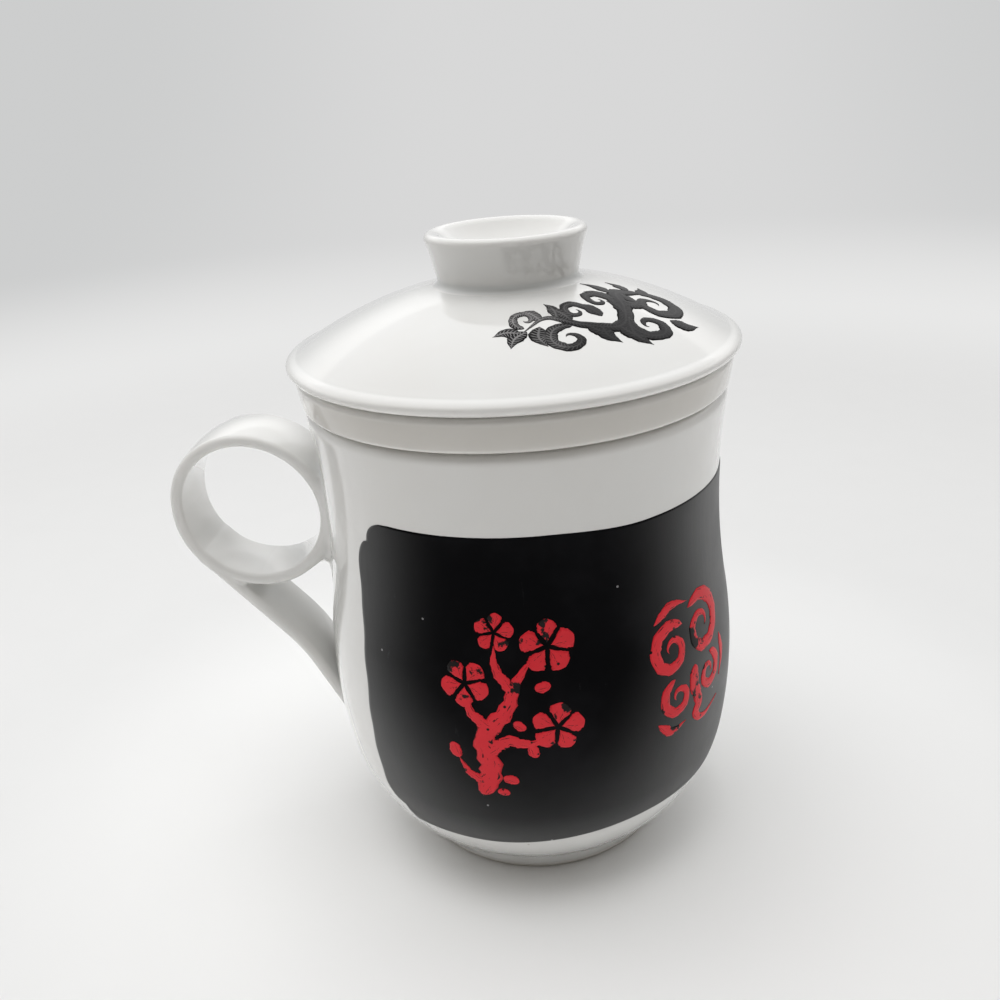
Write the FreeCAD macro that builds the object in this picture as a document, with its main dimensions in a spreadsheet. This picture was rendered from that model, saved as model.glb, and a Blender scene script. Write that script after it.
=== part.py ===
import FreeCAD, Part
import math
import os

import Sketcher

# Lidded porcelain tea mug with a lift-out infuser.
# +Z is up, the foot stands on Z = 0, the axis of the mug is the Z axis and the handle lies along -X.
# All sizes are millimetres and degrees.

# An edge is level with a height when it lies this close to it.
LEVEL = 1e-4

doc = FreeCAD.newDocument("tea_mug")
sheet = doc.addObject("Spreadsheet::Sheet", "Sizes")

# Driving sizes: every one is free to change by itself.
DRIVING = [
    ("mug_height", 99.0, "foot plane to the top of the mug's lip"),
    ("belly_radius", 42.9, "largest outside radius"),
    ("belly_height", 41.0, "height of the belly"),
    ("belly_arc_end", 25.3, "height where the belly turns under"),
    ("turn_height", 56.6, "height where the belly's curve turns into the waist's"),
    ("waist_inset", 2.8, "how far the waist lies inside the belly"),
    ("waist_drop", 21.5, "mug's lip down to the waist"),
    ("foot_radius", 28.0, "outside radius of the foot ring on the table"),
    ("foot_flare", 1.0, "how far the foot ring widens up to the bowl"),
    ("foot_height", 4.0, "height of the foot ring outside"),
    ("foot_ring_width", 3.0, "width of the ring that stands on the table"),
    ("foot_recess", 2.4, "depth of the hollow inside the foot ring"),
    ("mug_wall", 4.0, "thickness of the mug's wall"),
    ("mug_floor", 5.0, "thickness of the mug's floor"),
    ("lip_rounding", 1.3, "radius of the rounded lip edges"),
    ("film_thickness", 0.4, "heat-change film with its clear coat, over the glaze"),
    ("film_bottom", 18.0, "height of the film's lower edge"),
    ("film_drop", 15.6, "mug's lip down to the film's upper edge"),
    ("film_wrap", 272.0, "angle the film wraps, centred opposite the handle"),
    ("ring_sink", 1.1, "how deep the handle ring sinks into the mug's waist"),
    ("ring_drop", 23.6, "mug's lip down to the centre of the handle ring"),
    ("ring_bore", 14.4, "radius of the finger hole at the ribbon's edges"),
    ("ribbon_width", 15.4, "width of the handle ribbon"),
    ("ribbon_edge", 2.6, "thickness of the ribbon at its rounded edges"),
    ("ribbon_crown", 0.45, "how far each broad face of the ribbon swells"),
    ("tail_lean", 41.0, "angle from the vertical at which the tail leaves the ring"),
    ("tail_run", 24.0, "straight length of the tail below the ring"),
    ("tail_bend_radius", 38.0, "radius of the tail's bend towards the mug"),
    ("tail_bend", 15.0, "angle of that bend"),
    ("tail_sink", 5.1, "how deep the tail's centre line runs into the belly"),
    ("seat_gap", 0.3, "clearance where a loose piece stands on another"),
    ("collar_overhang", 0.8, "how far the infuser's collar stands out past the mug's lip"),
    ("collar_taper", 0.6, "how much the collar narrows to its foot"),
    ("collar_height", 6.7, "height of the collar above the mug's lip"),
    ("collar_rounding", 1.5, "radius of the collar's lower edge"),
    ("collar_edge", 0.9, "radius of the collar's upper edge"),
    ("collar_width", 7.0, "width of the collar's top face"),
    ("basket_play", 1.1, "clearance between the basket's top and the mug's waist"),
    ("basket_taper", 3.6, "how much the basket narrows to its foot"),
    ("basket_depth", 63.0, "how far the basket hangs below the collar"),
    ("basket_corner", 5.0, "radius of the basket's lower corner"),
    ("basket_wall", 2.8, "thickness of the basket's wall"),
    ("mouth_depth", 3.4, "depth of the recess that takes the lid's flange"),
    ("throat_rounding", 1.0, "radius where the recess turns down into the basket"),
    ("floor_margin", 1.4, "flat floor between the strainer and the basket's corner"),
    ("strainer_thickness", 2.8, "thickness of the perforated floor"),
    ("strainer_hole", 2.6, "diameter of each strainer hole"),
    ("strainer_pitch", 5.4, "radial distance between rings of holes"),
    ("lid_overhang", 1.4, "how far the lid stands out past the collar"),
    ("lid_lip", 2.0, "thickness of the lid's lip"),
    ("dome_radius", 80.0, "radius of the lid's dome"),
    ("dome_thickness", 3.0, "thickness of the dome"),
    ("flange_play", 1.0, "radial play of the lid's flange in the infuser"),
    ("flange_lift", 0.7, "clearance under the flange"),
    ("flange_width", 2.8, "thickness of the flange"),
    ("knob_base_radius", 13.4, "outside radius where the knob meets the dome"),
    ("knob_flare", 2.1, "how far the knob widens up to its rim"),
    ("knob_height", 9.8, "knob's height above its foot"),
    ("knob_wall", 2.3, "thickness of the knob's rim"),
    ("knob_floor", 2.6, "clay left above the dome at the middle of the knob"),
]

# Derived sizes: formulas on the driving ones.
# The mug's side is three tangent arcs: the waist, the belly and the turn under to the foot. Its inside
# has the same waist and belly, one wall further in, and a turn of its own.
def under_cells(name, end_r, low_r, low_z):
    """The arc that leaves the belly at its end and runs down to a low point."""
    return [
        (f"{name}_dr", f"={end_r} - {low_r}"),
        (f"{name}_dz", f"=belly_arc_end - {low_z}"),
        (
            f"{name}_arc",
            f"=({name}_dr * {name}_dr + {name}_dz * {name}_dz) * belly_arc"
            f" / (2 * ({name}_dr * end_reach - {name}_dz * end_drop))",
        ),
    ]


DERIVED = [
    ("waist_height", "=mug_height - waist_drop"),
    ("waist_radius", "=belly_radius - waist_inset"),
    ("belly_to_waist", "=waist_height - belly_height"),
    ("both_arcs", "=(belly_to_waist * belly_to_waist + waist_inset * waist_inset) / (2 * waist_inset)"),
    ("belly_arc", "=both_arcs * (turn_height - belly_height) / belly_to_waist"),
    ("waist_arc", "=both_arcs - belly_arc"),
    ("waist_centre", "=waist_radius + waist_arc"),
    ("belly_centre", "=belly_radius - belly_arc"),
    ("turn_radius", "=belly_centre + (waist_centre - belly_centre) * belly_arc / both_arcs"),
    ("rim_radius", "=waist_centre - sqrt(waist_arc * waist_arc - waist_drop * waist_drop)"),
    ("end_drop", "=belly_height - belly_arc_end"),
    ("end_reach", "=sqrt(belly_arc * belly_arc - end_drop * end_drop)"),
    ("end_radius", "=belly_centre + end_reach"),
    ("foot_root_radius", "=foot_radius + foot_flare"),
    ("foot_inner_radius", "=foot_radius - foot_ring_width"),
    ("bore_rim_radius", "=rim_radius - mug_wall"),
    ("bore_turn_radius", "=turn_radius - mug_wall"),
    ("bore_end_radius", "=end_radius - mug_wall"),
    ("bore_low_radius", "=foot_root_radius - foot_ring_width"),
    ("bore_bottom", "=foot_recess + mug_floor"),
]
DERIVED += under_cells("under", "end_radius", "foot_root_radius", "foot_height")
DERIVED += under_cells("bore_under", "bore_end_radius", "bore_low_radius", "bore_bottom")
DERIVED += [
    ("under_centre_r", "=end_radius - under_arc * end_reach / belly_arc"),
    ("under_centre_z", "=belly_arc_end + under_arc * end_drop / belly_arc"),
    ("film_top", "=mug_height - film_drop"),
    ("film_low_rise", "=film_bottom - under_centre_z"),
    ("film_low_r", "=under_centre_r + sqrt(under_arc * under_arc - film_low_rise * film_low_rise)"),
    ("film_top_rise", "=film_top - waist_height"),
    ("film_top_r", "=waist_centre - sqrt(waist_arc * waist_arc - film_top_rise * film_top_rise)"),
    ("film_out_low_r", "=film_low_r + film_thickness * (film_low_r - under_centre_r) / under_arc"),
    ("film_out_low_z", "=film_bottom + film_thickness * film_low_rise / under_arc"),
    ("film_out_under", "=under_arc + film_thickness"),
    ("film_out_end_r", "=end_radius + film_thickness * end_reach / belly_arc"),
    ("film_out_end_z", "=belly_arc_end - film_thickness * end_drop / belly_arc"),
    ("film_out_belly", "=belly_arc + film_thickness"),
    ("film_out_turn_r", "=turn_radius + film_thickness * (waist_centre - turn_radius) / waist_arc"),
    ("film_out_turn_z", "=turn_height + film_thickness * (waist_height - turn_height) / waist_arc"),
    ("film_out_waist", "=waist_arc - film_thickness"),
    ("film_out_top_r", "=film_top_r + film_thickness * (waist_centre - film_top_r) / waist_arc"),
    ("film_out_top_z", "=film_top - film_thickness * film_top_rise / waist_arc"),
    ("ribbon_flat", "=(ribbon_width - ribbon_edge) / 2"),
    ("ribbon_side", "=ribbon_edge / 2"),
    ("ribbon_arc", "=(ribbon_flat * ribbon_flat + ribbon_crown * ribbon_crown) / (2 * ribbon_crown)"),
    ("ribbon_half", "=ribbon_width / 2"),
    ("ring_height", "=mug_height - ring_drop"),
    ("ring_reach", "=waist_radius - ring_sink + ribbon_edge + ring_bore"),
    ("ring_inner_x", "=ring_reach + ring_bore"),
    ("ring_side_x", "=ring_inner_x + ribbon_side"),
    ("ring_outer_x", "=ring_inner_x + ribbon_edge"),
    ("ring_middle", "=ring_bore + ribbon_edge / 2"),
    ("tail_start_x", "=ring_reach + ring_middle * cos(tail_lean)"),
    ("tail_start_z", "=ring_height - ring_middle * sin(tail_lean)"),
    ("tail_bend_x", "=tail_start_x - tail_run * sin(tail_lean)"),
    ("tail_bend_z", "=tail_start_z - tail_run * cos(tail_lean)"),
    ("landing_lean", "=tail_lean - tail_bend"),
    ("landing_x", "=tail_bend_x - tail_bend_radius * (cos(landing_lean) - cos(tail_lean))"),
    ("landing_z", "=tail_bend_z - tail_bend_radius * (sin(tail_lean) - sin(landing_lean))"),
    ("tail_end_x", "=end_radius - tail_sink"),
    ("tail_end_z", "=landing_z - (landing_x - tail_end_x) / tan(landing_lean)"),
    ("collar_radius", "=rim_radius + collar_overhang"),
    ("collar_foot_radius", "=collar_radius - collar_taper"),
    ("collar_bottom", "=mug_height + seat_gap"),
    ("collar_top", "=mug_height + collar_height"),
    ("collar_turn_z", "=collar_bottom + collar_rounding"),
    ("collar_turn_r", "=collar_foot_radius - collar_rounding"),
    ("collar_edge_z", "=collar_top - collar_edge"),
    ("collar_edge_r", "=collar_radius - collar_edge"),
    ("mouth_radius", "=collar_radius - collar_width"),
    ("mouth_floor", "=collar_top - mouth_depth"),
    ("basket_radius", "=waist_radius - mug_wall - basket_play"),
    ("basket_foot_radius", "=basket_radius - basket_taper"),
    ("throat_radius", "=basket_radius - basket_wall"),
    ("throat_edge_r", "=throat_radius + throat_rounding"),
    ("throat_z", "=mouth_floor - throat_rounding"),
    ("basket_bottom", "=collar_bottom - basket_depth"),
    ("basket_side_z", "=basket_bottom + basket_corner"),
    ("basket_turn_r", "=basket_foot_radius - basket_corner"),
    ("basket_in_radius", "=basket_foot_radius - basket_wall"),
    ("strainer_radius", "=basket_turn_r - floor_margin"),
    ("strainer_top", "=basket_bottom + strainer_thickness"),
    ("strainer_corner", "=basket_in_radius - strainer_radius"),
    ("strainer_rise", "=strainer_top + strainer_corner"),
    ("lid_radius", "=collar_radius + lid_overhang"),
    ("lid_seat", "=collar_top + seat_gap"),
    ("lid_lip_z", "=lid_seat + lid_lip"),
    ("lid_half_lip", "=lid_lip / 2"),
    ("lid_nose_z", "=lid_seat + lid_half_lip"),
    ("dome_edge_r", "=lid_radius - lid_half_lip"),
    ("dome_centre", "=lid_lip_z - sqrt(dome_radius * dome_radius - dome_edge_r * dome_edge_r)"),
    ("dome_top", "=dome_centre + dome_radius"),
    ("vault_radius", "=dome_radius - dome_thickness"),
    ("vault_top", "=dome_top - dome_thickness"),
    ("flange_radius", "=mouth_radius - flange_play"),
    ("flange_inner", "=flange_radius - flange_width"),
    ("vault_edge_z", "=dome_centre + sqrt(vault_radius * vault_radius - flange_inner * flange_inner)"),
    ("flange_bottom", "=mouth_floor + flange_lift"),
    ("knob_foot_z", "=dome_centre + sqrt(dome_radius * dome_radius - knob_base_radius * knob_base_radius)"),
    ("knob_rim_radius", "=knob_base_radius + knob_flare"),
    ("knob_lip_z", "=knob_foot_z + knob_height"),
    ("knob_lip_arc", "=knob_wall / 2"),
    ("knob_crest_r", "=knob_rim_radius - knob_lip_arc"),
    ("knob_side_z", "=knob_lip_z - knob_lip_arc"),
    ("knob_mouth_radius", "=knob_rim_radius - knob_wall"),
    ("knob_bowl_z", "=dome_top + knob_floor"),
    ("knob_bowl_depth", "=knob_side_z - knob_bowl_z"),
    (
        "knob_bowl_arc",
        "=(knob_mouth_radius * knob_mouth_radius + knob_bowl_depth * knob_bowl_depth)"
        " / (2 * knob_bowl_depth)",
    ),
]


def fill_sheet():
    row = 1
    for name, value, note in DRIVING:
        sheet.set(f"A{row}", note)
        sheet.set(f"B{row}", str(value))
        sheet.setAlias(f"B{row}", name)
        row += 1
    for name, formula in DERIVED:
        sheet.set(f"A{row}", name.replace("_", " "))
        sheet.set(f"B{row}", formula)
        sheet.setAlias(f"B{row}", name)
        row += 1
    doc.recompute()


def size(name):
    return float(sheet.get(name))


def signed(name):
    """A size's value; a leading minus turns its sign, and 0 is the origin."""
    if name == "0":
        return 0.0
    if name.startswith("-"):
        return -size(name[1:])
    return size(name)


def bound(name):
    return "Sizes." + name


# Sketch tools

def origin_plane(body, role):
    for feature in body.Origin.OriginFeatures:
        if feature.Role == role:
            return feature
    raise ValueError(role)


def new_body(label):
    body = doc.addObject("PartDesign::Body", label)
    body.Label = label
    return body


def new_sketch(body, name, plane, height=None):
    """A sketch on one of the body's own origin planes, raised to a named height if one is given."""
    sketch = body.newObject("Sketcher::SketchObject", name)
    sketch.AttachmentSupport = [(origin_plane(body, plane), "")]
    sketch.MapMode = "FlatFace"
    if height:
        sketch.setExpression("AttachmentOffset.Base.z", bound(height))
    return sketch


def pin_coordinate(sketch, kind, edge, end, name):
    """Tie one coordinate of an edge's end to a named size."""
    if name == "0":
        axis = -2 if kind == "DistanceX" else -1
        sketch.addConstraint(Sketcher.Constraint("PointOnObject", edge, end, axis))
        return
    if name.startswith("-"):
        name = name[1:]
        constraint = Sketcher.Constraint(kind, edge, end, -1, 1, size(name))
    else:
        constraint = Sketcher.Constraint(kind, -1, 1, edge, end, size(name))
    index = sketch.addConstraint(constraint)
    sketch.setExpression(f"Constraints[{index}]", bound(name))


def arc_geometry(start, end, radius, turn):
    """The short arc between two points; turn is 1 anticlockwise and -1 clockwise."""
    chord = end - start
    half = chord.Length / 2
    across = FreeCAD.Vector(-chord.y, chord.x, 0).normalize()
    centre = (start + end) / 2 + across * (turn * math.sqrt(max(radius**2 - half**2, 0.0)))
    first, last = (start, end) if turn > 0 else (end, start)
    angles = [math.atan2(point.y - centre.y, point.x - centre.x) for point in (first, last)]
    circle = Part.Circle(centre, FreeCAD.Vector(0, 0, 1), radius)
    return Part.ArcOfCircle(circle, angles[0], angles[1])


def outline(sketch, corners, closed=True):
    """Draw a chain of edges through corners.

    A corner is (x, y) or (x, y, radius, turn): the last two belong to the edge that leaves it, which is
    a line without them and an arc with them. Every coordinate and radius is the name of a size.
    """
    points = [FreeCAD.Vector(signed(corner[0]), signed(corner[1]), 0) for corner in corners]
    count = len(corners) if closed else len(corners) - 1
    ends = []
    for number in range(count):
        corner = corners[number]
        start = points[number]
        end = points[(number + 1) % len(points)]
        if len(corner) == 2:
            edge = sketch.addGeometry(Part.LineSegment(start, end), False)
            ends.append((edge, 1, 2))
            continue
        radius, turn = corner[2], corner[3]
        edge = sketch.addGeometry(arc_geometry(start, end, size(radius), turn), False)
        ends.append((edge, 1, 2) if turn > 0 else (edge, 2, 1))
        index = sketch.addConstraint(Sketcher.Constraint("Radius", edge, size(radius)))
        sketch.setExpression(f"Constraints[{index}]", bound(radius))
    for number, (edge, first, last) in enumerate(ends):
        pin_coordinate(sketch, "DistanceX", edge, first, corners[number][0])
        pin_coordinate(sketch, "DistanceY", edge, first, corners[number][1])
        if closed or number + 1 < count:
            following = ends[(number + 1) % count]
            sketch.addConstraint(Sketcher.Constraint("Coincident", edge, last, following[0], following[1]))
        else:
            pin_coordinate(sketch, "DistanceX", edge, last, corners[number + 1][0])
            pin_coordinate(sketch, "DistanceY", edge, last, corners[number + 1][1])


def outer_side():
    """The mug's outside, from the foot ring up to the lip."""
    return [
        ("foot_root_radius", "foot_height", "under_arc", 1),
        ("end_radius", "belly_arc_end", "belly_arc", 1),
        ("turn_radius", "turn_height", "waist_arc", -1),
        ("rim_radius", "mug_height"),
    ]


def inner_side():
    """The mug's inside, from its floor up to the lip."""
    return [
        ("bore_low_radius", "bore_bottom", "bore_under_arc", 1),
        ("bore_end_radius", "belly_arc_end", "belly_arc", 1),
        ("bore_turn_radius", "turn_height", "waist_arc", -1),
        ("bore_rim_radius", "mug_height"),
    ]


def revolve(body, sketch, name, kind="PartDesign::Revolution", axis="V_Axis"):
    """Turn a sketch a full circle about its vertical axis, or about a construction line in it."""
    feature = body.newObject(kind, name)
    feature.Profile = sketch
    feature.ReferenceAxis = (sketch, [axis])
    feature.Angle = 360.0
    body.Tip = feature
    doc.recompute()
    return feature


def level_edges(feature, height):
    """Names of the feature's edges that lie flat at a height."""
    names = []
    for number, edge in enumerate(feature.Shape.Edges, 1):
        box = edge.BoundBox
        if max(abs(box.ZMin - height), abs(box.ZMax - height)) < LEVEL:
            names.append(f"Edge{number}")
    return names


# Mug

def make_mug_body():
    body = new_body("mug_body")
    outside = new_sketch(body, "mug_outside", "XZ_Plane")
    foot = [
        ("0", "foot_recess"),
        ("foot_inner_radius", "foot_recess"),
        ("foot_inner_radius", "0"),
        ("foot_radius", "0"),
    ]
    outline(outside, foot + outer_side() + [("0", "mug_height")])
    revolve(body, outside, "mug_clay")
    inside = new_sketch(body, "mug_inside", "XZ_Plane")
    outline(inside, [("0", "bore_bottom")] + inner_side() + [("0", "mug_height")])
    hollow = revolve(body, inside, "mug_hollow", "PartDesign::Groove")
    lip = body.newObject("PartDesign::Fillet", "mug_lip")
    lip.Base = (hollow, level_edges(hollow, size("mug_height")))
    lip.setExpression("Radius", bound("lip_rounding"))
    body.Tip = lip
    return body


def ribbon_section(sketch, inner, middle, outer):
    """The handle's section: two crowned faces joined by round edges, as wide as the ribbon."""
    outline(sketch, [
        (inner, "-ribbon_flat", "ribbon_arc", 1),
        (inner, "ribbon_flat", "ribbon_side", 1),
        (middle, "ribbon_half", "ribbon_side", 1),
        (outer, "ribbon_flat", "ribbon_arc", 1),
        (outer, "-ribbon_flat", "ribbon_side", 1),
        (middle, "-ribbon_half", "ribbon_side", 1),
    ])


def make_handle():
    body = new_body("handle")

    section = new_sketch(body, "ring_section", "XY_Plane", "ring_height")
    ribbon_section(section, "-ring_inner_x", "-ring_side_x", "-ring_outer_x")
    centre = -size("ring_reach")
    low = FreeCAD.Vector(centre, -size("ribbon_half"), 0)
    high = FreeCAD.Vector(centre, size("ribbon_half"), 0)
    axis = section.addGeometry(Part.LineSegment(low, high), True)
    for end, side in ((1, "-ribbon_half"), (2, "ribbon_half")):
        pin_coordinate(section, "DistanceX", axis, end, "-ring_reach")
        pin_coordinate(section, "DistanceY", axis, end, side)
    revolve(body, section, "ring", axis="Axis0")

    path = new_sketch(body, "tail_path", "XZ_Plane")
    outline(path, [
        ("-tail_start_x", "tail_start_z"),
        ("-tail_bend_x", "tail_bend_z", "tail_bend_radius", -1),
        ("-landing_x", "landing_z"),
        ("-tail_end_x", "tail_end_z"),
    ], closed=False)
    tail_section = new_sketch(body, "tail_section", "XY_Plane")
    start = FreeCAD.Vector(-size("tail_start_x"), 0, size("tail_start_z"))
    lean = FreeCAD.Rotation(FreeCAD.Vector(0, -1, 0), size("tail_lean"))
    tail_section.AttachmentOffset = FreeCAD.Placement(start, lean)
    tail_section.setExpression("AttachmentOffset.Base.x", "-" + bound("tail_start_x"))
    tail_section.setExpression("AttachmentOffset.Base.z", bound("tail_start_z"))
    tail_section.setExpression("AttachmentOffset.Rotation.Angle", bound("tail_lean"))
    ribbon_section(tail_section, "ribbon_side", "0", "-ribbon_side")
    doc.recompute()
    tail = body.newObject("PartDesign::AdditivePipe", "tail")
    tail.Profile = tail_section
    tail.Spine = path
    body.Tip = tail
    doc.recompute()

    # The handle is luted to the outside of the mug, so the mug's own side cuts its ends.
    envelope = new_sketch(body, "mug_envelope", "XZ_Plane")
    outline(envelope, [("0", "foot_height")] + outer_side() + [("0", "mug_height")])
    revolve(body, envelope, "luted_ends", "PartDesign::Groove")
    return body


def make_film():
    body = new_body("heat_change_film")
    sketch = new_sketch(body, "film_section", "XZ_Plane")
    outline(sketch, [
        ("film_out_low_r", "film_out_low_z", "film_out_under", 1),
        ("film_out_end_r", "film_out_end_z", "film_out_belly", 1),
        ("film_out_turn_r", "film_out_turn_z", "film_out_waist", -1),
        ("film_out_top_r", "film_out_top_z"),
        ("film_top_r", "film_top", "waist_arc", 1),
        ("turn_radius", "turn_height", "belly_arc", -1),
        ("end_radius", "belly_arc_end", "under_arc", -1),
        ("film_low_r", "film_bottom"),
    ])
    film = body.newObject("PartDesign::Revolution", "film")
    film.Profile = sketch
    film.ReferenceAxis = (sketch, ["V_Axis"])
    film.Midplane = True
    film.setExpression("Angle", bound("film_wrap"))
    body.Tip = film
    return body


# Infuser

def make_infuser_basket():
    body = new_body("infuser_basket")
    section = new_sketch(body, "basket_section", "XZ_Plane")
    outline(section, [
        ("strainer_radius", "basket_bottom"),
        ("basket_turn_r", "basket_bottom", "basket_corner", 1),
        ("basket_foot_radius", "basket_side_z"),
        ("basket_radius", "collar_bottom"),
        ("collar_turn_r", "collar_bottom", "collar_rounding", 1),
        ("collar_foot_radius", "collar_turn_z"),
        ("collar_radius", "collar_edge_z", "collar_edge", 1),
        ("collar_edge_r", "collar_top"),
        ("mouth_radius", "collar_top"),
        ("mouth_radius", "mouth_floor"),
        ("throat_edge_r", "mouth_floor", "throat_rounding", 1),
        ("throat_radius", "throat_z"),
        ("basket_in_radius", "strainer_rise", "strainer_corner", -1),
        ("strainer_radius", "strainer_top"),
    ])
    revolve(body, section, "basket")
    return body


def make_infuser_strainer():
    """The basket's floor: a centre hole and rings of six, twelve, eighteen and so on about it."""
    body = new_body("infuser_strainer")
    disc = new_sketch(body, "floor_disc", "XY_Plane", "basket_bottom")
    circle = Part.Circle(FreeCAD.Vector(), FreeCAD.Vector(0, 0, 1), size("strainer_radius"))
    edge = disc.addGeometry(circle, False)
    disc.addConstraint(Sketcher.Constraint("Coincident", edge, 3, -1, 1))
    index = disc.addConstraint(Sketcher.Constraint("Radius", edge, size("strainer_radius")))
    disc.setExpression(f"Constraints[{index}]", bound("strainer_radius"))
    floor = body.newObject("PartDesign::Pad", "floor")
    floor.Profile = disc
    floor.setExpression("Length", bound("strainer_thickness"))
    body.Tip = floor
    doc.recompute()
    rings = int((size("strainer_radius") - size("strainer_hole")) / size("strainer_pitch"))
    for ring in range(rings + 1):
        bore_hole_ring(body, ring)
    return body


def bore_hole_ring(body, ring):
    """One through hole, repeated six times for every ring out from the centre."""
    sketch = new_sketch(body, f"hole_{ring}", "XY_Plane", "strainer_top")
    reach = ring * size("strainer_pitch")
    centre = FreeCAD.Vector(reach, 0, 0)
    circle = Part.Circle(centre, FreeCAD.Vector(0, 0, 1), size("strainer_hole") / 2)
    hole = sketch.addGeometry(circle, False)
    index = sketch.addConstraint(Sketcher.Constraint("Diameter", hole, size("strainer_hole")))
    sketch.setExpression(f"Constraints[{index}]", bound("strainer_hole"))
    sketch.addConstraint(Sketcher.Constraint("PointOnObject", hole, 3, -1))
    if ring == 0:
        sketch.addConstraint(Sketcher.Constraint("PointOnObject", hole, 3, -2))
    else:
        index = sketch.addConstraint(Sketcher.Constraint("DistanceX", -1, 1, hole, 3, reach))
        sketch.setExpression(f"Constraints[{index}]", f"{ring} * " + bound("strainer_pitch"))
    pocket = body.newObject("PartDesign::Pocket", f"bored_{ring}")
    pocket.Profile = sketch
    pocket.Type = "ThroughAll"
    body.Tip = pocket
    doc.recompute()
    if ring:
        pattern = body.newObject("PartDesign::PolarPattern", f"ring_{ring}")
        pattern.Originals = [pocket]
        pattern.Axis = (sketch, ["N_Axis"])
        pattern.Angle = 360.0
        pattern.Occurrences = 6 * ring
        body.Tip = pattern
        doc.recompute()


# Lid

def make_lid_dish():
    body = new_body("lid_dish")
    section = new_sketch(body, "dish_section", "XZ_Plane")
    outline(section, [
        ("flange_inner", "flange_bottom"),
        ("flange_radius", "flange_bottom"),
        ("flange_radius", "lid_seat"),
        ("dome_edge_r", "lid_seat", "lid_half_lip", 1),
        ("lid_radius", "lid_nose_z", "lid_half_lip", 1),
        ("dome_edge_r", "lid_lip_z", "dome_radius", 1),
        ("0", "dome_top"),
        ("0", "vault_top", "vault_radius", -1),
        ("flange_inner", "vault_edge_z"),
    ])
    revolve(body, section, "dish")
    return body


def make_lid_knob():
    body = new_body("lid_knob")
    section = new_sketch(body, "knob_section", "XZ_Plane")
    outline(section, [
        ("0", "dome_top", "dome_radius", -1),
        ("knob_base_radius", "knob_foot_z"),
        ("knob_rim_radius", "knob_side_z", "knob_lip_arc", 1),
        ("knob_crest_r", "knob_lip_z", "knob_lip_arc", 1),
        ("knob_mouth_radius", "knob_side_z", "knob_bowl_arc", -1),
        ("0", "knob_bowl_z"),
    ])
    revolve(body, section, "knob")
    return body


fill_sheet()
PIECES = [
    make_mug_body(),
    make_handle(),
    make_film(),
    make_infuser_basket(),
    make_infuser_strainer(),
    make_lid_dish(),
    make_lid_knob(),
]
doc.recompute()

for thing in doc.Objects:
    if "Invalid" in thing.State or "Error" in thing.State:
        raise RuntimeError(f"{thing.Name} failed: {thing.State}")

os.makedirs("parts", exist_ok=True)
for piece in PIECES:
    shape = piece.Shape
    if shape.isNull() or not shape.isValid() or len(shape.Solids) != 1:
        raise RuntimeError(f"{piece.Label} is not one valid solid")
    shape.exportStep(f"parts/{piece.Label}.step")
    box = shape.BoundBox
    print(piece.Label, round(shape.Volume), "mm3, z", round(box.ZMin, 2), "to", round(box.ZMax, 2))
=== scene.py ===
import math

import bpy
import numpy as np
from mathutils import Matrix, Vector


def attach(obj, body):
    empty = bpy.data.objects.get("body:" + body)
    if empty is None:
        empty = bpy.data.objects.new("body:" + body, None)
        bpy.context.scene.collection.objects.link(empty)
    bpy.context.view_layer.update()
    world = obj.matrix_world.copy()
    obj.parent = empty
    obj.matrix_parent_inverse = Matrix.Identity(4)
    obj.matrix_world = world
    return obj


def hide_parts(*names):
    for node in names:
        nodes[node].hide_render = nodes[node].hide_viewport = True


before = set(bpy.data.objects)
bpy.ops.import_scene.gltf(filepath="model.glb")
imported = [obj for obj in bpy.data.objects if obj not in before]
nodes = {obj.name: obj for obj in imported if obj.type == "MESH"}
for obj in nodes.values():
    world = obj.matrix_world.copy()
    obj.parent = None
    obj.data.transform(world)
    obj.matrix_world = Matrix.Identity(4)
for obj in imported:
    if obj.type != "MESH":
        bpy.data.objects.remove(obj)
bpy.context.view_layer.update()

# Dresses the lidded porcelain tea mug. Sizes are millimetres and degrees. The handle lies along -X and
# azimuths run anticlockwise from +X, seen from above, so 270 faces the front of the mug.
MM = 0.001

# Mug
MUG_HEIGHT = 99.0
BELLY_RADIUS = 42.9
BELLY_HEIGHT = 41.0
BELLY_ARC_END = 25.3
TURN_HEIGHT = 56.6
WAIST_HEIGHT = 77.5
WAIST_RADIUS = 40.1
FOOT_ROOT_RADIUS = 29.0
FOOT_HEIGHT = 4.0
FOOT_RADIUS = 28.0
FOOT_RING_WIDTH = 3.0
FOOT_RECESS = 2.4
FOOT_RECESS_RISE = 0.15
FOOT_INNER_SLOPE = 0.5
FOOT_EDGE = 0.6
MUG_WALL = 4.0
MUG_FLOOR = 5.0
MUG_LIP = 1.9
MUG_LIP_ROUND = 2.0
BARE_CLAY_HEIGHT = 0.5
GLAZE_LINE = 0.4

# Handle
RING_REACH = 56.0
RING_HEIGHT = 75.4
RING_BORE = 14.4
RIBBON_WIDTH = 15.4
RIBBON_EDGE = 2.6
RIBBON_CROWN = 0.45
TAIL_LEAN = 41.0
TAIL_RUN = 24.0
TAIL_BEND_RADIUS = 38.0
TAIL_BEND = 15.0
TAIL_LANDING = 23.0
TANGENT_FLARE = 0.6
CROTCH_FLARE = 1.6
CROTCH_START = 0.2
CROTCH_FULL = 1.4
ROOT_FLARE = 2.2
UNDER_FLARE = 5.8
UNDER_FLARE_TOP = (68.0, 60.0)
UNDER_FLARE_FOOT = (45.0, 52.0)
LANDING_FLARE = 0.06
LANDING_FLARE_TOP = (30.0, 46.0)
RING_OVAL = 0.35
RING_OVAL_LEAN = 47.0
HANDLE_SUNK = 1.0
HANDLE_PITCH = 0.4
HANDLE_OUTER_REACH = 76.0
HANDLE_INNER_REACH = 35.0
HANDLE_LOW = 12.0
HANDLE_HIGH = 95.0

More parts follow.
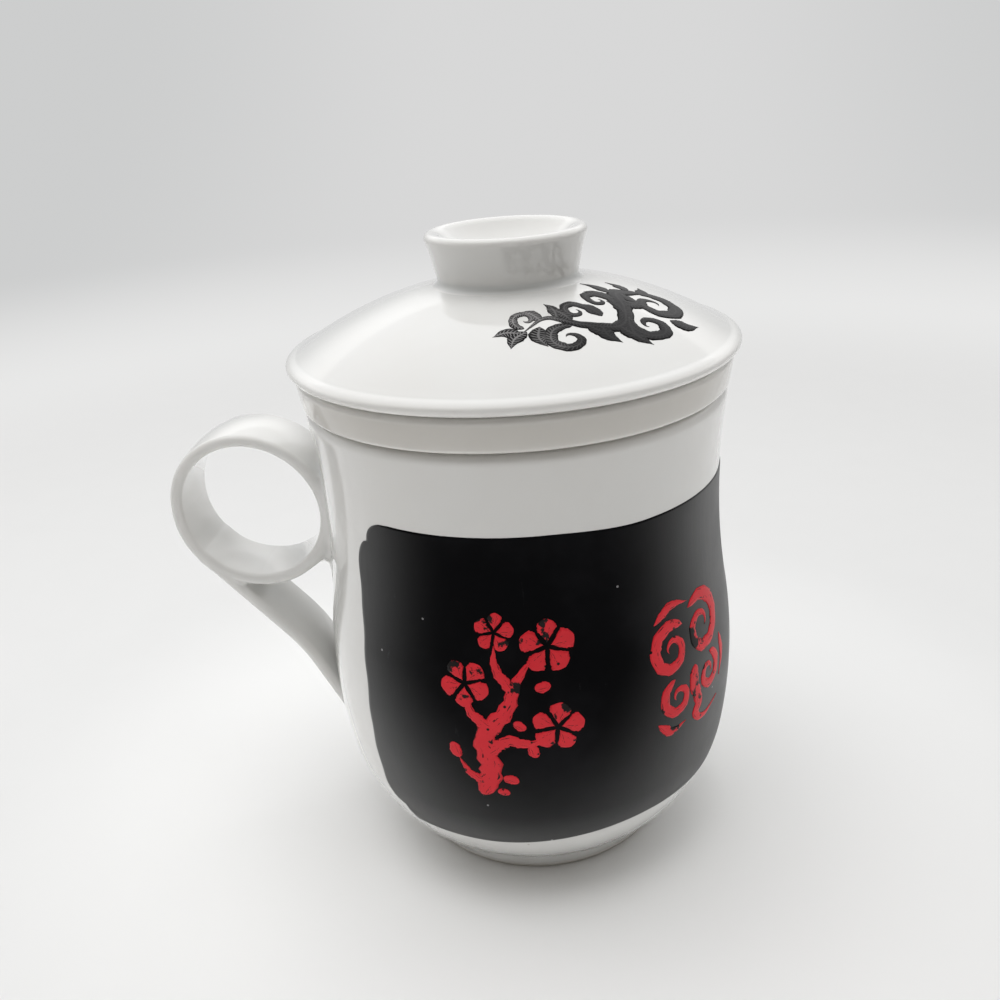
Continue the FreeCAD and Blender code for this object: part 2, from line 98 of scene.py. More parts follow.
# Infuser
COLLAR_BOTTOM = 99.3
COLLAR_TOP = 105.7
COLLAR_RADIUS = 42.6
COLLAR_FOOT_RADIUS = 42.0
COLLAR_FOOT_EDGE = 0.9
COLLAR_TOP_EDGE = 1.1
MOUTH_RADIUS = 35.6
MOUTH_DEPTH = 3.4
MOUTH_EDGE = 1.0
BASKET_RADIUS = 35.0
BASKET_FOOT_RADIUS = 31.4
BASKET_DEPTH = 63.0
BASKET_CORNER = 5.0
BASKET_WALL = 2.8
BASKET_TAPER_SHARE = 0.94
STRAINER_RADIUS = 25.0
STRAINER_THICKNESS = 2.8
STRAINER_LAP = 0.3
STRAINER_LAYER = 0.02

# Lid
LID_SEAT = 106.0
LID_RADIUS = 44.0
LID_LIP = 2.0
LIP_UNDER = 1.6
LID_ROLL = 2.6
LID_ROLL_REACH = 2.1
DOME_RADIUS = 80.0
DOME_THICKNESS = 3.0
FLANGE_RADIUS = 34.6
FLANGE_WIDTH = 2.8
FLANGE_BOTTOM = 103.0
KNOB_BASE_RADIUS = 13.4
KNOB_RIM_RADIUS = 15.5
KNOB_HEIGHT = 9.8
KNOB_WALL = 2.3
KNOB_FLOOR = 2.6
KNOB_MOUTH = 3.1
KNOB_MOUTH_DROP = 0.85
KNOB_MOUTH_ROUND = 2.6
KNOB_ROOT = 0.4
KNOB_POOL = 1.5
KNOB_POOL_ROUND = 1.6
KNOB_POOL_LIFT = 0.12
KNOB_FLARE_ROUND = 30.0

# Printed film
FILM_HALF_WRAP = 136.5
FILM_LOW = 16.9
FILM_LOW_RISE = 2.5
FILM_LOW_TURN = (248.0, 306.0)
FILM_HIGH = 83.75
FILM_HIGH_FALL = 0.95
FILM_HIGH_TURN = (270.0, 300.0)
FILM_LOWER_STEP = 2.1
FILM_STEP_HEIGHTS = (62.0, 44.0)
FILM_PROUD = 0.16
FILM_EDGE = 0.35
FILM_BACK = -0.12

# A scalloped corner: height of its upper and lower curve, then its full and its notch's inset in degrees
FILM_UPPER_CORNER = (4.6, 9.0, 14.0, 5.2)
FILM_LOWER_CORNER = (4.0, 5.5, 10.0, 5.6)

# Prints: azimuth with height on the mug or with radius on the lid, then how far they stand proud
BLOSSOM_PLACE = (268.5, 50.0)
CLOUD_PLACE = (320.0, 50.5)
SCROLL_PLACE = (311.0, 27.2)
RED_PROUD = 0.09
INK_PROUD = 0.07
PRINT_BACK = -0.1
FINEST_STROKE = 0.02


# Mesh tools

def smoothstep(low, high, value):
    """0 below low and 1 above high, with the cubic 3 t² - 2 t³ between."""
    share = np.clip((value - low) / (high - low), 0.0, 1.0)
    return share * share * (3.0 - 2.0 * share)


def new_piece(name, points, faces, body=None, slot=None, replaced=()):
    """A smooth mesh from points in millimetres and lists of faces, placed on its body."""
    mesh = bpy.data.meshes.new(name)
    mesh.from_pydata((np.asarray(points) * MM).tolist(), [], faces)
    mesh.update()
    mesh.shade_smooth()
    piece = bpy.data.objects.new(name, mesh)
    bpy.context.collection.objects.link(piece)
    if body:
        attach(piece, body)
    if replaced:
        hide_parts(*replaced)
    return piece


def set_attribute(piece, name, values):
    """One number per vertex, which a material reads by this name."""
    layer = piece.data.attributes.new(name, "FLOAT", "POINT")
    layer.data.foreach_set("value", np.asarray(values, dtype=np.float32).ravel())


def grid_faces(rows, columns, first=0, wrap=False):
    """Quads of a grid stored row by row. With wrap the last column joins the first."""
    row = np.arange(rows - 1)[:, None] * columns + first
    column = np.arange(columns if wrap else columns - 1)[None, :]
    following = (column + 1) % columns
    corners = (row + column, row + following, row + columns + following, row + columns + column)
    return np.stack([corner.ravel() for corner in corners], axis=1)


def arc_points(start, end, radius, turn, step=0.15):
    """The short arc from start to end: its centre stands off the chord's middle, on the left for an
    anticlockwise turn, by the root of radius² less half the chord squared."""
    start, end = np.array(start), np.array(end)
    chord = end - start
    half = np.hypot(*chord) / 2
    across = np.array([-chord[1], chord[0]]) / (2 * half)
    centre = (start + end) / 2 + across * turn * math.sqrt(max(radius**2 - half**2, 0.0))
    sweep = turn * 2 * math.asin(min(half / radius, 1.0))
    count = max(int(abs(sweep) * radius / step), 2)
    first = math.atan2(start[1] - centre[1], start[0] - centre[0])
    angle = first + sweep * np.arange(count) / count
    return centre + radius * np.stack([np.cos(angle), np.sin(angle)], axis=1)


def trace(corners, closed):
    """A fine polyline through corners (r, z) or (r, z, radius, turn), whose last two make the edge that
    leaves the corner an arc."""
    runs = []
    count = len(corners) if closed else len(corners) - 1
    for number in range(count):
        start = corners[number]
        end = corners[(number + 1) % len(corners)][:2]
        if len(start) == 4:
            runs.append(arc_points(start[:2], end, start[2], start[3]))
        else:
            steps = max(int(math.dist(start, end) / 0.15), 1)
            share = np.arange(steps)[:, None] / steps
            runs.append(np.array(start) * (1 - share) + np.array(end) * share)
    if not closed:
        runs.append(np.array([corners[-1][:2]]))
    return np.concatenate(runs)


def resample(line, spots):
    """The polyline's points at even shares of a running total given for each of its points."""
    reach = spots[-1]
    wanted = np.linspace(0.0, reach, max(int(math.ceil(reach)), 8) + 1)
    return np.stack([np.interp(wanted, spots, line[:, k]) for k in (0, 1)], axis=1)


def soften(line, closed, width):
    """Glaze rounds every edge: the line is spaced evenly and averaged with a bell curve of this width.
    An open line ends on the axis, so it is mirrored past its ends."""
    if closed:
        line = np.concatenate([line, line[:1]])
    length = np.concatenate([[0.0], np.cumsum(np.hypot(*np.diff(line, axis=0).T))])
    line = resample(line, length / 0.1)
    reach = int(4 * width / 0.1)
    bell = np.exp(-0.5 * (np.arange(-reach, reach + 1) * 0.1 / width) ** 2)
    bell /= bell.sum()
    if closed:
        line = line[:-1]
        padded = np.concatenate([line[-reach:], line, line[:reach]])
    else:
        mirror = np.array([-1.0, 1.0])
        padded = np.concatenate([line[reach:0:-1] * mirror, line, line[-2:-reach - 2:-1] * mirror])
    return np.stack([np.convolve(padded[:, k], bell, mode="valid") for k in (0, 1)], axis=1)


def profile(corners, closed=False, width=0.32, reach=2.2, bend=8.0):
    """A softened outline with a point every reach millimetres, or every bend degrees if that is sooner,
    and how sharply it turns at each point: positive on an edge and negative in a hollow."""
    line = soften(trace(corners, closed), closed, width)
    if closed:
        line = np.concatenate([line, line[:1]])
    step = np.diff(line, axis=0)
    heading = np.unwrap(np.arctan2(step[:, 1], step[:, 0]))
    turning = np.concatenate([[0.0], np.diff(heading), [0.0]])
    length = np.concatenate([[0.0], np.hypot(*step.T)])
    spots = np.cumsum(length / reach + np.abs(turning) / math.radians(bend))
    kernel = np.ones(11) / 11
    sharpness = np.convolve(turning / 0.1, kernel, mode="same")
    points = resample(line, spots)
    wanted = np.linspace(0.0, spots[-1], len(points))
    turns = np.interp(wanted, spots, sharpness)
    if closed:
        return points[:-1], turns[:-1]
    points[0, 0] = 0.0
    points[-1, 0] = 0.0
    return points, turns


def revolve(outline, segments):
    """Rings of points: the outline's point (r, z) at azimuth a gives (r cos a, r sin a, z)."""
    angle = np.arange(segments) * 2 * np.pi / segments
    ring = np.stack([np.cos(angle), np.sin(angle)], axis=1)
    sides = outline[:, 0][:, None, None] * ring[None]
    levels = np.broadcast_to(outline[:, 1][:, None, None], (len(outline), segments, 1))
    return np.concatenate([sides, levels], axis=2).reshape(-1, 3)


def all_glazed(points):
    """No vertex is bare clay."""
    return np.zeros(len(points))


def lathe(name, outline, closed=False, bare=all_glazed, segments=224, **placing):
    """A turned piece from an outline and its turns. An outline that ends on the axis closes there with
    one point and a fan. The share of bare clay is a function of the points."""
    points, turns = outline
    body = points if closed else points[1:-1]
    rows = len(body)
    vertices = revolve(body, segments)
    faces = grid_faces(rows, segments, wrap=True).tolist()
    edge = np.repeat(turns if closed else turns[1:-1], segments)
    column = np.arange(segments)
    following = (column + 1) % segments
    if closed:
        last = (rows - 1) * segments
        seam = np.stack([last + column, last + following, following, column], axis=1)
        faces += seam.tolist()
    else:
        low = rows * segments
        high = low + 1
        last = low - segments
        faces += np.stack([np.full(segments, low), following, column], axis=1).tolist()
        faces += np.stack([np.full(segments, high), last + column, last + following], axis=1).tolist()
        vertices = np.concatenate([vertices, [[0, 0, points[0, 1]], [0, 0, points[-1, 1]]]])
        edge = np.concatenate([edge, [0.0, 0.0]])
    piece = new_piece(name, vertices, faces, **placing)
    set_attribute(piece, "edge", np.clip(edge, -1.0, 1.0))
    set_attribute(piece, "bare", bare(vertices))
    return piece


# Shape of the mug's side

class Side:
    """Three tangent arcs from the lip down: waist, belly and the turn under to the foot."""

    def __init__(self):
        step = WAIST_HEIGHT - BELLY_HEIGHT
        inset = BELLY_RADIUS - WAIST_RADIUS
        both = (step * step + inset * inset) / (2 * inset)
        self.belly = both * (TURN_HEIGHT - BELLY_HEIGHT) / step
        self.waist = both - self.belly
        self.waist_centre = WAIST_RADIUS + self.waist
        self.belly_centre = BELLY_RADIUS - self.belly
        self.turn = self.belly_centre + (self.waist_centre - self.belly_centre) * self.belly / both
        self.rim = self.waist_centre - math.sqrt(self.waist**2 - (MUG_HEIGHT - WAIST_HEIGHT) ** 2)
        self.drop = BELLY_HEIGHT - BELLY_ARC_END
        self.reach = math.sqrt(self.belly**2 - self.drop**2)
        self.end = self.belly_centre + self.reach
        self.under = self.under_arc(self.end, FOOT_ROOT_RADIUS, FOOT_HEIGHT)
        self.under_r = self.end - self.under * self.reach / self.belly
        self.under_z = BELLY_ARC_END + self.under * self.drop / self.belly

    def under_arc(self, end, low_r, low_z):
        """Radius of the arc that leaves the belly's end smoothly and passes a low point."""
        dr = end - low_r
        dz = BELLY_ARC_END - low_z
        return (dr * dr + dz * dz) * self.belly / (2 * (dr * self.reach - dz * self.drop))

    def radius(self, z):
        """Outside radius at a height, from the circle of the arc that the height falls on."""
        root = lambda value: np.sqrt(np.maximum(value, 0.0))
        waist = self.waist_centre - root(self.waist**2 - (z - WAIST_HEIGHT) ** 2)
        belly = self.belly_centre + root(self.belly**2 - (z - BELLY_HEIGHT) ** 2)
        under = self.under_r + root(self.under**2 - (z - self.under_z) ** 2)
        return np.where(z > TURN_HEIGHT, waist, np.where(z > BELLY_ARC_END, belly, under))

    def lifted(self, z, lift):
        """Radius and height of points that stand off the side along its normal."""
        slope = (self.radius(z + 0.05) - self.radius(z - 0.05)) / 0.1
        scale = lift / np.sqrt(1 + slope * slope)
        return self.radius(z) + scale, z - scale * slope


side = Side()


def on_mug(azimuth, z, lift):
    """Points on the mug's side from azimuth in degrees, height and lift."""
    r, level = side.lifted(z, lift)
    angle = np.radians(azimuth)
    return np.stack([r * np.cos(angle), r * np.sin(angle), level], axis=-1)


# Mug and handle

def bare_foot(points):
    """Share of bare clay on the mug: 1 at the bottom of the foot ring and 0 above the glaze line and in
    the recess."""
    reach = np.hypot(points[:, 0], points[:, 1])
    recess = FOOT_RADIUS - FOOT_RING_WIDTH - 0.1
    low = 1 - smoothstep(BARE_CLAY_HEIGHT, BARE_CLAY_HEIGHT + GLAZE_LINE, points[:, 2])
    return low * smoothstep(recess, recess + 0.5, reach)


def make_mug():
    """The mug's clay under its glaze, foot ring to lip and down the inside."""
    foot_inner = FOOT_RADIUS - FOOT_RING_WIDTH
    lip_z = MUG_HEIGHT - MUG_LIP
    lip_radius = float(side.radius(lip_z))
    bore_floor = FOOT_RECESS + MUG_FLOOR
    bore_low = FOOT_ROOT_RADIUS - FOOT_RING_WIDTH
    bore_end = side.end - MUG_WALL
    bore_under = side.under_arc(bore_end, bore_low, bore_floor)
    outline = profile([
        (0.0, FOOT_RECESS + FOOT_RECESS_RISE),
        (foot_inner, FOOT_RECESS),
        (foot_inner + FOOT_INNER_SLOPE, 0.0),
        (FOOT_RADIUS - FOOT_EDGE / 2, 0.0),
        (FOOT_RADIUS, FOOT_EDGE),
        (FOOT_ROOT_RADIUS, FOOT_HEIGHT, side.under, 1),
        (side.end, BELLY_ARC_END, side.belly, 1),
        (side.turn, TURN_HEIGHT, side.waist, -1),
        (lip_radius, lip_z, MUG_LIP_ROUND, 1),
        (side.rim - MUG_WALL / 2, MUG_HEIGHT, MUG_LIP_ROUND, 1),
        (lip_radius - MUG_WALL, lip_z, side.waist, 1),
        (side.turn - MUG_WALL, TURN_HEIGHT, side.belly, -1),
        (bore_end, BELLY_ARC_END, bore_under, -1),
        (bore_low, bore_floor),
        (0.0, bore_floor),
    ])
    placing = {"body": "mug", "slot": "porcelain_mug", "replaced": ["mug_body"]}
    return lathe("mug_glaze", outline, bare=bare_foot, **placing)


def ribbon_distance(offset, across):
    """Distance from the ribbon's section: two crowned faces whose half thickness is the edge's half plus
    crown (1 - t²), closed by half-round edges."""
    flat = (RIBBON_WIDTH - RIBBON_EDGE) / 2
    edge = RIBBON_EDGE / 2
    across = np.abs(across)
    share = np.minimum(across / flat, 1.0)
    face = offset - edge - RIBBON_CROWN * (1 - share * share)
    cap = np.hypot(offset, np.maximum(across - flat, 0.0)) - edge
    return np.where(across < flat, face, cap)


def run_distance(x, z, start, end):
    """Distance in the handle's plane from a straight run."""
    along = np.array(end) - np.array(start)
    share = ((x - start[0]) * along[0] + (z - start[1]) * along[1]) / (along @ along)
    share = np.clip(share, 0.0, 1.0)
    return np.hypot(x - start[0] - share * along[0], z - start[1] - share * along[1])


def moved(point, along, up):
    """A point of the handle's plane, moved outwards and upwards."""
    return (point[0] + along, point[1] + up)


def handle_field(x, y, z):
    """Distance from the handle's surface, negative inside. The ring and the tail are the ribbon's section
    carried round a circle, a little oval away from the tail, and down a line with one bend. Over a reach j
    the two blend: their lesser distance drops by m² j / 4, where m is 1 - |difference| / j. j is wider in
    the crotch between them. Both swell where they meet the mug by f - sqrt(f² - (f - b)²), where b is the
    distance from the mug's side and f is the flare, small at the tail's landing and large under the ring's
    root."""
    reach = -x
    middle = RING_BORE + RIBBON_EDGE / 2
    along, up = reach - RING_REACH, z - RING_HEIGHT
    lean = math.radians(TAIL_LEAN)
    turn = np.arctan2(up, along)
    stretch = np.cos(2 * (turn - math.radians(RING_OVAL_LEAN)))
    stretch = np.where(stretch < 0, stretch * (0.5 - 0.5 * np.cos(turn + lean)), stretch)
    ring = np.abs(np.hypot(along, up) - middle - RING_OVAL * stretch)

    landing = math.radians(TAIL_LEAN - TAIL_BEND)
    start = moved((RING_REACH, RING_HEIGHT), middle * math.cos(lean), -middle * math.sin(lean))
    bend = moved(start, -TAIL_RUN * math.sin(lean), -TAIL_RUN * math.cos(lean))
    centre = moved(bend, TAIL_BEND_RADIUS * math.cos(lean), -TAIL_BEND_RADIUS * math.sin(lean))
    land = moved(centre, -TAIL_BEND_RADIUS * math.cos(landing), TAIL_BEND_RADIUS * math.sin(landing))
    end = moved(land, -TAIL_LANDING * math.sin(landing), -TAIL_LANDING * math.cos(landing))
    angle = np.arctan2(z - centre[1], centre[0] - reach)
    in_bend = (angle > landing) & (angle < lean)
    curve = np.abs(np.hypot(reach - centre[0], z - centre[1]) - TAIL_BEND_RADIUS)
    tail = np.minimum(run_distance(reach, z, start, bend), run_distance(reach, z, land, end))
    tail = np.where(in_bend, np.minimum(tail, curve), tail)

    first = ribbon_distance(ring, y)
    second = ribbon_distance(tail, y)
    inward = (start[0] - reach) * math.cos(lean) - (start[1] - z) * math.sin(lean)
    outward = np.hypot(along, up) - middle
    crotch = smoothstep(CROTCH_START, CROTCH_FULL, outward) * smoothstep(CROTCH_START, CROTCH_FULL, inward)
    join = TANGENT_FLARE + (CROTCH_FLARE - TANGENT_FLARE) * crotch
    mix = np.maximum(join - np.abs(first - second), 0.0) / join
    body = np.minimum(first, second) - mix * mix * join / 4

    stand = np.hypot(x, y) - side.radius(z)
    under = smoothstep(*UNDER_FLARE_TOP, z) * smoothstep(*UNDER_FLARE_FOOT, z)
    flare = LANDING_FLARE + (ROOT_FLARE - LANDING_FLARE) * smoothstep(*LANDING_FLARE_TOP, z)
    flare = flare + (UNDER_FLARE - ROOT_FLARE) * under
    near = flare - np.clip(stand, 0.0, flare)
    body = body - (flare - np.sqrt(np.maximum(flare**2 - near**2, 0.0)))
    return np.maximum(body, -(stand + HANDLE_SUNK))


def field_slope(field, points, step=0.02):
    """Gradient of a field by central differences."""
    slope = np.empty_like(points)
    for axis in range(3):
        shift = np.zeros(3)
        shift[axis] = step
        slope[:, axis] = (field(*(points + shift).T) - field(*(points - shift).T)) / (2 * step)
    return slope


def wrap_field(name, field, low, high, pitch, **placing):
    """The surface where a field is 0, and its points. Each cell of a grid whose corners differ in sign
    holds one vertex, slid down the gradient onto the surface by steps of value times slope over slope²,
    and each grid edge that crosses the surface makes one quad. The slope also gives the normals."""
    axes = [np.arange(start, stop, pitch) for start, stop in zip(low, high)]
    values = field(*np.meshgrid(*axes, indexing="ij"))
    inside = values < 0
    cells = [size - 1 for size in inside.shape]
    corners = np.zeros(cells, dtype=int)
    for i in (0, 1):
        for j in (0, 1):
            for k in (0, 1):
                corners += inside[i:cells[0] + i, j:cells[1] + j, k:cells[2] + k]
    mixed = (corners > 0) & (corners < 8)
    number = np.full(cells, -1)
    number[mixed] = np.arange(mixed.sum())
    points = np.stack([axes[axis][index] for axis, index in enumerate(np.nonzero(mixed))], axis=1)
    points = points + pitch / 2
    for _ in range(6):
        slope = field_slope(field, points)
        length = np.maximum((slope * slope).sum(axis=1), 0.2)
        points = points - slope * (field(*points.T) / length)[:, None]

    faces = []
    for axis in range(3):
        second, third = (axis + 1) % 3, (axis + 2) % 3
        here = np.moveaxis(inside, (axis, second, third), (0, 1, 2))
        cell = np.moveaxis(number, (axis, second, third), (0, 1, 2))
        now, after = here[:-1, 1:-1, 1:-1], here[1:, 1:-1, 1:-1]
        around = (cell[:, :-1, :-1], cell[:, 1:, :-1], cell[:, 1:, 1:], cell[:, :-1, 1:])
        leaving = now & ~after
        entering = after & ~now
        faces.append(np.stack([corner[leaving] for corner in around], axis=1))
        faces.append(np.stack([corner[entering] for corner in around[::-1]], axis=1))
    piece = new_piece(name, points, np.concatenate(faces).tolist(), **placing)
    slope = field_slope(field, points)
    slope /= np.maximum(np.linalg.norm(slope, axis=1), 1e-6)[:, None]
    piece.data.normals_split_custom_set_from_vertices(slope.tolist())
    return piece, points


def make_handle():
    """The ribbon handle: a finger ring whose tail runs on down to the belly."""
    half = RIBBON_WIDTH / 2 + UNDER_FLARE + 1.0
    low = (-HANDLE_OUTER_REACH, -half, HANDLE_LOW)
    high = (-HANDLE_INNER_REACH, half, HANDLE_HIGH)
    handle, points = wrap_field(
        "handle_ribbon", handle_field, low, high, HANDLE_PITCH,
        body="mug", slot="porcelain_mug", replaced=["handle"],
    )
    stand = np.hypot(points[:, 0], points[:, 1]) - side.radius(points[:, 2])
    rim = smoothstep(0.7, 1.0, np.abs(points[:, 1]) / (RIBBON_WIDTH / 2))
    set_attribute(handle, "edge", 0.5 * rim - 0.8 * (1 - smoothstep(0.2, ROOT_FLARE, stand)))
    set_attribute(handle, "bare", all_glazed(points))
    return handle


# Film

def corner_inset(depth, first, second, wide, narrow):
    """How far a scalloped corner steps back, in degrees, at a depth from the edge: a quarter ellipse down
    to a notch, then a second one out to the full width."""
    upper = np.clip(1 - depth / first, 0.0, 1.0)
    lower = np.clip(1 - (depth - first) / second, 0.0, 1.0)
    bow = lambda t: 1 - np.sqrt(1 - t * t)
    return np.where(depth < first, narrow + (wide - narrow) * bow(upper), narrow * bow(lower))


def film_edges(azimuth):
    """Lower and upper edge of the film at an azimuth: the transfer was laid a little askew."""
    low = FILM_LOW + FILM_LOW_RISE * smoothstep(*FILM_LOW_TURN, azimuth)
    high = FILM_HIGH - FILM_HIGH_FALL * smoothstep(*FILM_HIGH_TURN, azimuth)
    return low, high


def make_film():
    """The heat-change film: a grid over height and share of the wrap, closer towards its edges. Its side
    edges step in at scalloped corners and waver by two sine waves, its rim rounds down to the glaze by a
    quarter circle, and its back lies inside the glaze."""
    rows, columns = 150, 340
    share = np.linspace(0.0, 1.0, rows)
    share = share - np.sin(2 * np.pi * share) / (2 * np.pi) * 0.55
    across = np.linspace(-1.0, 1.0, columns)
    across = np.sin(across * np.pi / 2) * 0.12 + across * 0.88
    v, u = np.meshgrid(share, across, indexing="ij")
    rough = 360.0 + u * FILM_HALF_WRAP
    low, high = film_edges(rough)
    z = low + (high - low) * v
    inset = corner_inset(high - z, *FILM_UPPER_CORNER) + corner_inset(z - low, *FILM_LOWER_CORNER)
    waver = 0.3 * np.sin(z * 0.17 + 1.0) + 0.2 * np.sin(z * 0.61)
    inset = inset + FILM_LOWER_STEP * smoothstep(*FILM_STEP_HEIGHTS, z)
    azimuth = 360.0 + u * (FILM_HALF_WRAP - inset + waver)
    rim = np.minimum(np.minimum(v, 1 - v) * (high - low), (1 - np.abs(u)) * FILM_HALF_WRAP * 0.73)
    rounding = 1 - (1 - np.clip(rim / FILM_EDGE, 0, 1)) ** 2
    lift = FILM_PROUD * np.sqrt(np.clip(rounding, 0, 1))
    outer = on_mug(azimuth, z, lift).reshape(-1, 3)
    inner = on_mug(azimuth, z, FILM_BACK).reshape(-1, 3)
    size = rows * columns
    faces = grid_faces(rows, columns)
    back = faces[:, ::-1] + size
    border = np.concatenate([
        np.arange(columns),
        np.arange(1, rows) * columns + columns - 1,
        (rows - 1) * columns + np.arange(columns - 2, -1, -1),
        np.arange(rows - 2, 0, -1) * columns,
    ])
    following = np.roll(border, -1)
    skirt = np.stack([following, border, border + size, following + size], axis=1)
    return new_piece(
        "film_print", np.concatenate([outer, inner]), np.concatenate([faces, back, skirt]).tolist(),
        body="mug", slot="film", replaced=["heat_change_film"],
    )


# Printed motifs

def smooth_line(knots, count):
    """Points evenly along a Catmull-Rom curve through the knots."""
    knots = np.array(knots, dtype=float)
    padded = np.concatenate([[2 * knots[0] - knots[1]], knots, [2 * knots[-1] - knots[-2]]])
    t = np.linspace(0.0, len(knots) - 1.0, count)
    span = np.minimum(t.astype(int), len(knots) - 2)
    t = (t - span)[:, None]
    a, b, c, d = (padded[span + k] for k in range(4))
    return 0.5 * (2 * b + (c - a) * t + (2 * a - 5 * b + 4 * c - d) * t**2 + (3 * b - a - 3 * c + d) * t**3)


def brush(t):
    """A brush stroke's width: it swells at once and thins to a point."""
    return np.sqrt(np.clip(1 - (1 - np.minimum(t / 0.16, 1)) ** 2, 0, 1)) * (1 - t**2.2)


def oval(t):
    """An oval's width."""
    return np.sqrt(np.clip(1 - (2 * t - 1) ** 2, 0, 1))


def petal(t):
    """A petal's width: narrow at the centre, round at the outer end."""
    return np.sin(np.pi * t**1.7) ** 0.7


def leaf(t):
    """A leaf's width: widest a third of the way, pointed at both ends."""
    return np.sin(np.pi * t**0.7) ** 1.2


def stroke_patch(knots, width, shape, ragged, seed, count=44):
    """One printed stroke: a curve widened to each side, with each side broken up by three sine waves. It
    gives flat coordinates, a dome of 1 - a² over the share a across, that share, and the way along."""
    line = smooth_line(knots, count)
    heading = np.gradient(line, axis=0)
    heading /= np.maximum(np.hypot(*heading.T), 1e-9)[:, None]
    normal = np.stack([-heading[:, 1], heading[:, 0]], axis=1)
    t = np.linspace(0.0, 1.0, count)
    walk = np.concatenate([[0.0], np.cumsum(np.hypot(*np.diff(line, axis=0).T))])
    across = np.linspace(-1.0, 1.0, 7)
    wave = np.sin(walk * 2.1 + seed)
    wave = wave + 0.6 * np.sin(walk * 5.3 + 2 * seed) + 0.4 * np.sin(walk * 11 + seed)
    left = np.maximum(width / 2 * shape(t) * (1 + ragged * wave), FINEST_STROKE)
    right = np.maximum(width / 2 * shape(t) * (1 - ragged * wave), FINEST_STROKE)
    half = np.where(across[None, :] > 0, left[:, None], right[:, None])
    flat = line[:, None, :] + normal[:, None, :] * (half * across[None, :])[..., None]
    dome = (1 - across**2)[None, :] * np.ones((count, 1))
    shares = np.broadcast_to(across, dome.shape)
    return flat, dome, shares, np.broadcast_to(walk[:, None], dome.shape)


def print_motif(name, strokes, place, lift, **placing):
    """All strokes of a motif as one mesh of closed, slightly domed patches set on a surface. Each vertex
    keeps its share across its stroke and its way along it."""
    points, faces = [], []
    marks = {"across": [], "along": []}
    first = 0
    for number, (knots, width, shape, ragged) in enumerate(strokes):
        flat, dome, across, along = stroke_patch(knots, width, shape, ragged, 1.7 * number + 0.3)
        rows, columns = flat.shape[:2]
        top = place(flat, lift * (0.35 + 0.65 * dome)).reshape(-1, 3)
        under = place(flat[:, 1:-1], PRINT_BACK * np.ones((rows, columns - 2))).reshape(-1, 3)
        points += [top, under]
        marks["across"] += [across.reshape(-1), across[:, 1:-1].reshape(-1)]
        marks["along"] += [along.reshape(-1), along[:, 1:-1].reshape(-1)]
        low = first + rows * columns
        index = np.arange(rows * columns).reshape(rows, columns) + first
        below = np.arange(rows * (columns - 2)).reshape(rows, columns - 2) + low
        below = np.concatenate([index[:, :1], below, index[:, -1:]], axis=1)
        faces += sheet_quads(index) + sheet_quads(below[:, ::-1])
        faces += end_faces(index[0], below[0]) + end_faces(index[-1][::-1], below[-1][::-1])
        first = low + rows * (columns - 2)
    piece = new_piece(name, np.concatenate(points), faces, **placing)
    for mark, values in marks.items():
        set_attribute(piece, mark, np.concatenate(values))
    return piece


def sheet_quads(index):
    """Quads of a sheet of vertex numbers, facing the way that rows cross columns."""
    quads = np.stack([index[:-1, :-1], index[1:, :-1], index[1:, 1:], index[:-1, 1:]], axis=-1)
    return quads.reshape(-1, 4).tolist()


def end_faces(top, under):
    """Closes one end of a stroke, where both rows share their first and last vertex."""
    middle = np.stack([top[1:-2], top[2:-1], under[2:-1], under[1:-2]], axis=1).tolist()
    return [[top[0], top[1], under[1]], [top[-2], top[-1], under[-2]]] + middle


def spiral(centre, reach, start, turns, close=0.18):
    """Knots of a spiral that starts at a reach from its centre and closes in by equal shares."""
    knots = []
    count = max(int(abs(turns) * 10), 6)
    for number in range(count + 1):
        share = number / count
        angle = math.radians(start + 360 * turns * share)
        radius = reach * (1 - share) + reach * close * share
        knots.append((centre[0] + radius * math.cos(angle), centre[1] + radius * math.sin(angle)))
    return knots


def blossom(centre, reach, turn, petals=5):
    """Round petals about a centre."""
    strokes = []
    for number in range(petals):
        angle = math.radians(turn + 360 * number / petals)
        out = (math.cos(angle), math.sin(angle))
        inner = (centre[0] + 0.16 * reach * out[0], centre[1] + 0.16 * reach * out[1])
        outer = (centre[0] + 1.14 * reach * out[0], centre[1] + 1.14 * reach * out[1])
        strokes.append(([inner, outer], (0.90 - 0.12 * (number % 2)) * reach, petal, 0.07))
    return strokes


def bud(centre, reach, turn):
    """One closed bud on its stalk."""
    angle = math.radians(turn)
    out = (math.cos(angle), math.sin(angle))
    tip = (centre[0] + reach * out[0], centre[1] + reach * out[1])
    return [([centre, tip], 0.7 * reach, oval, 0.07)]


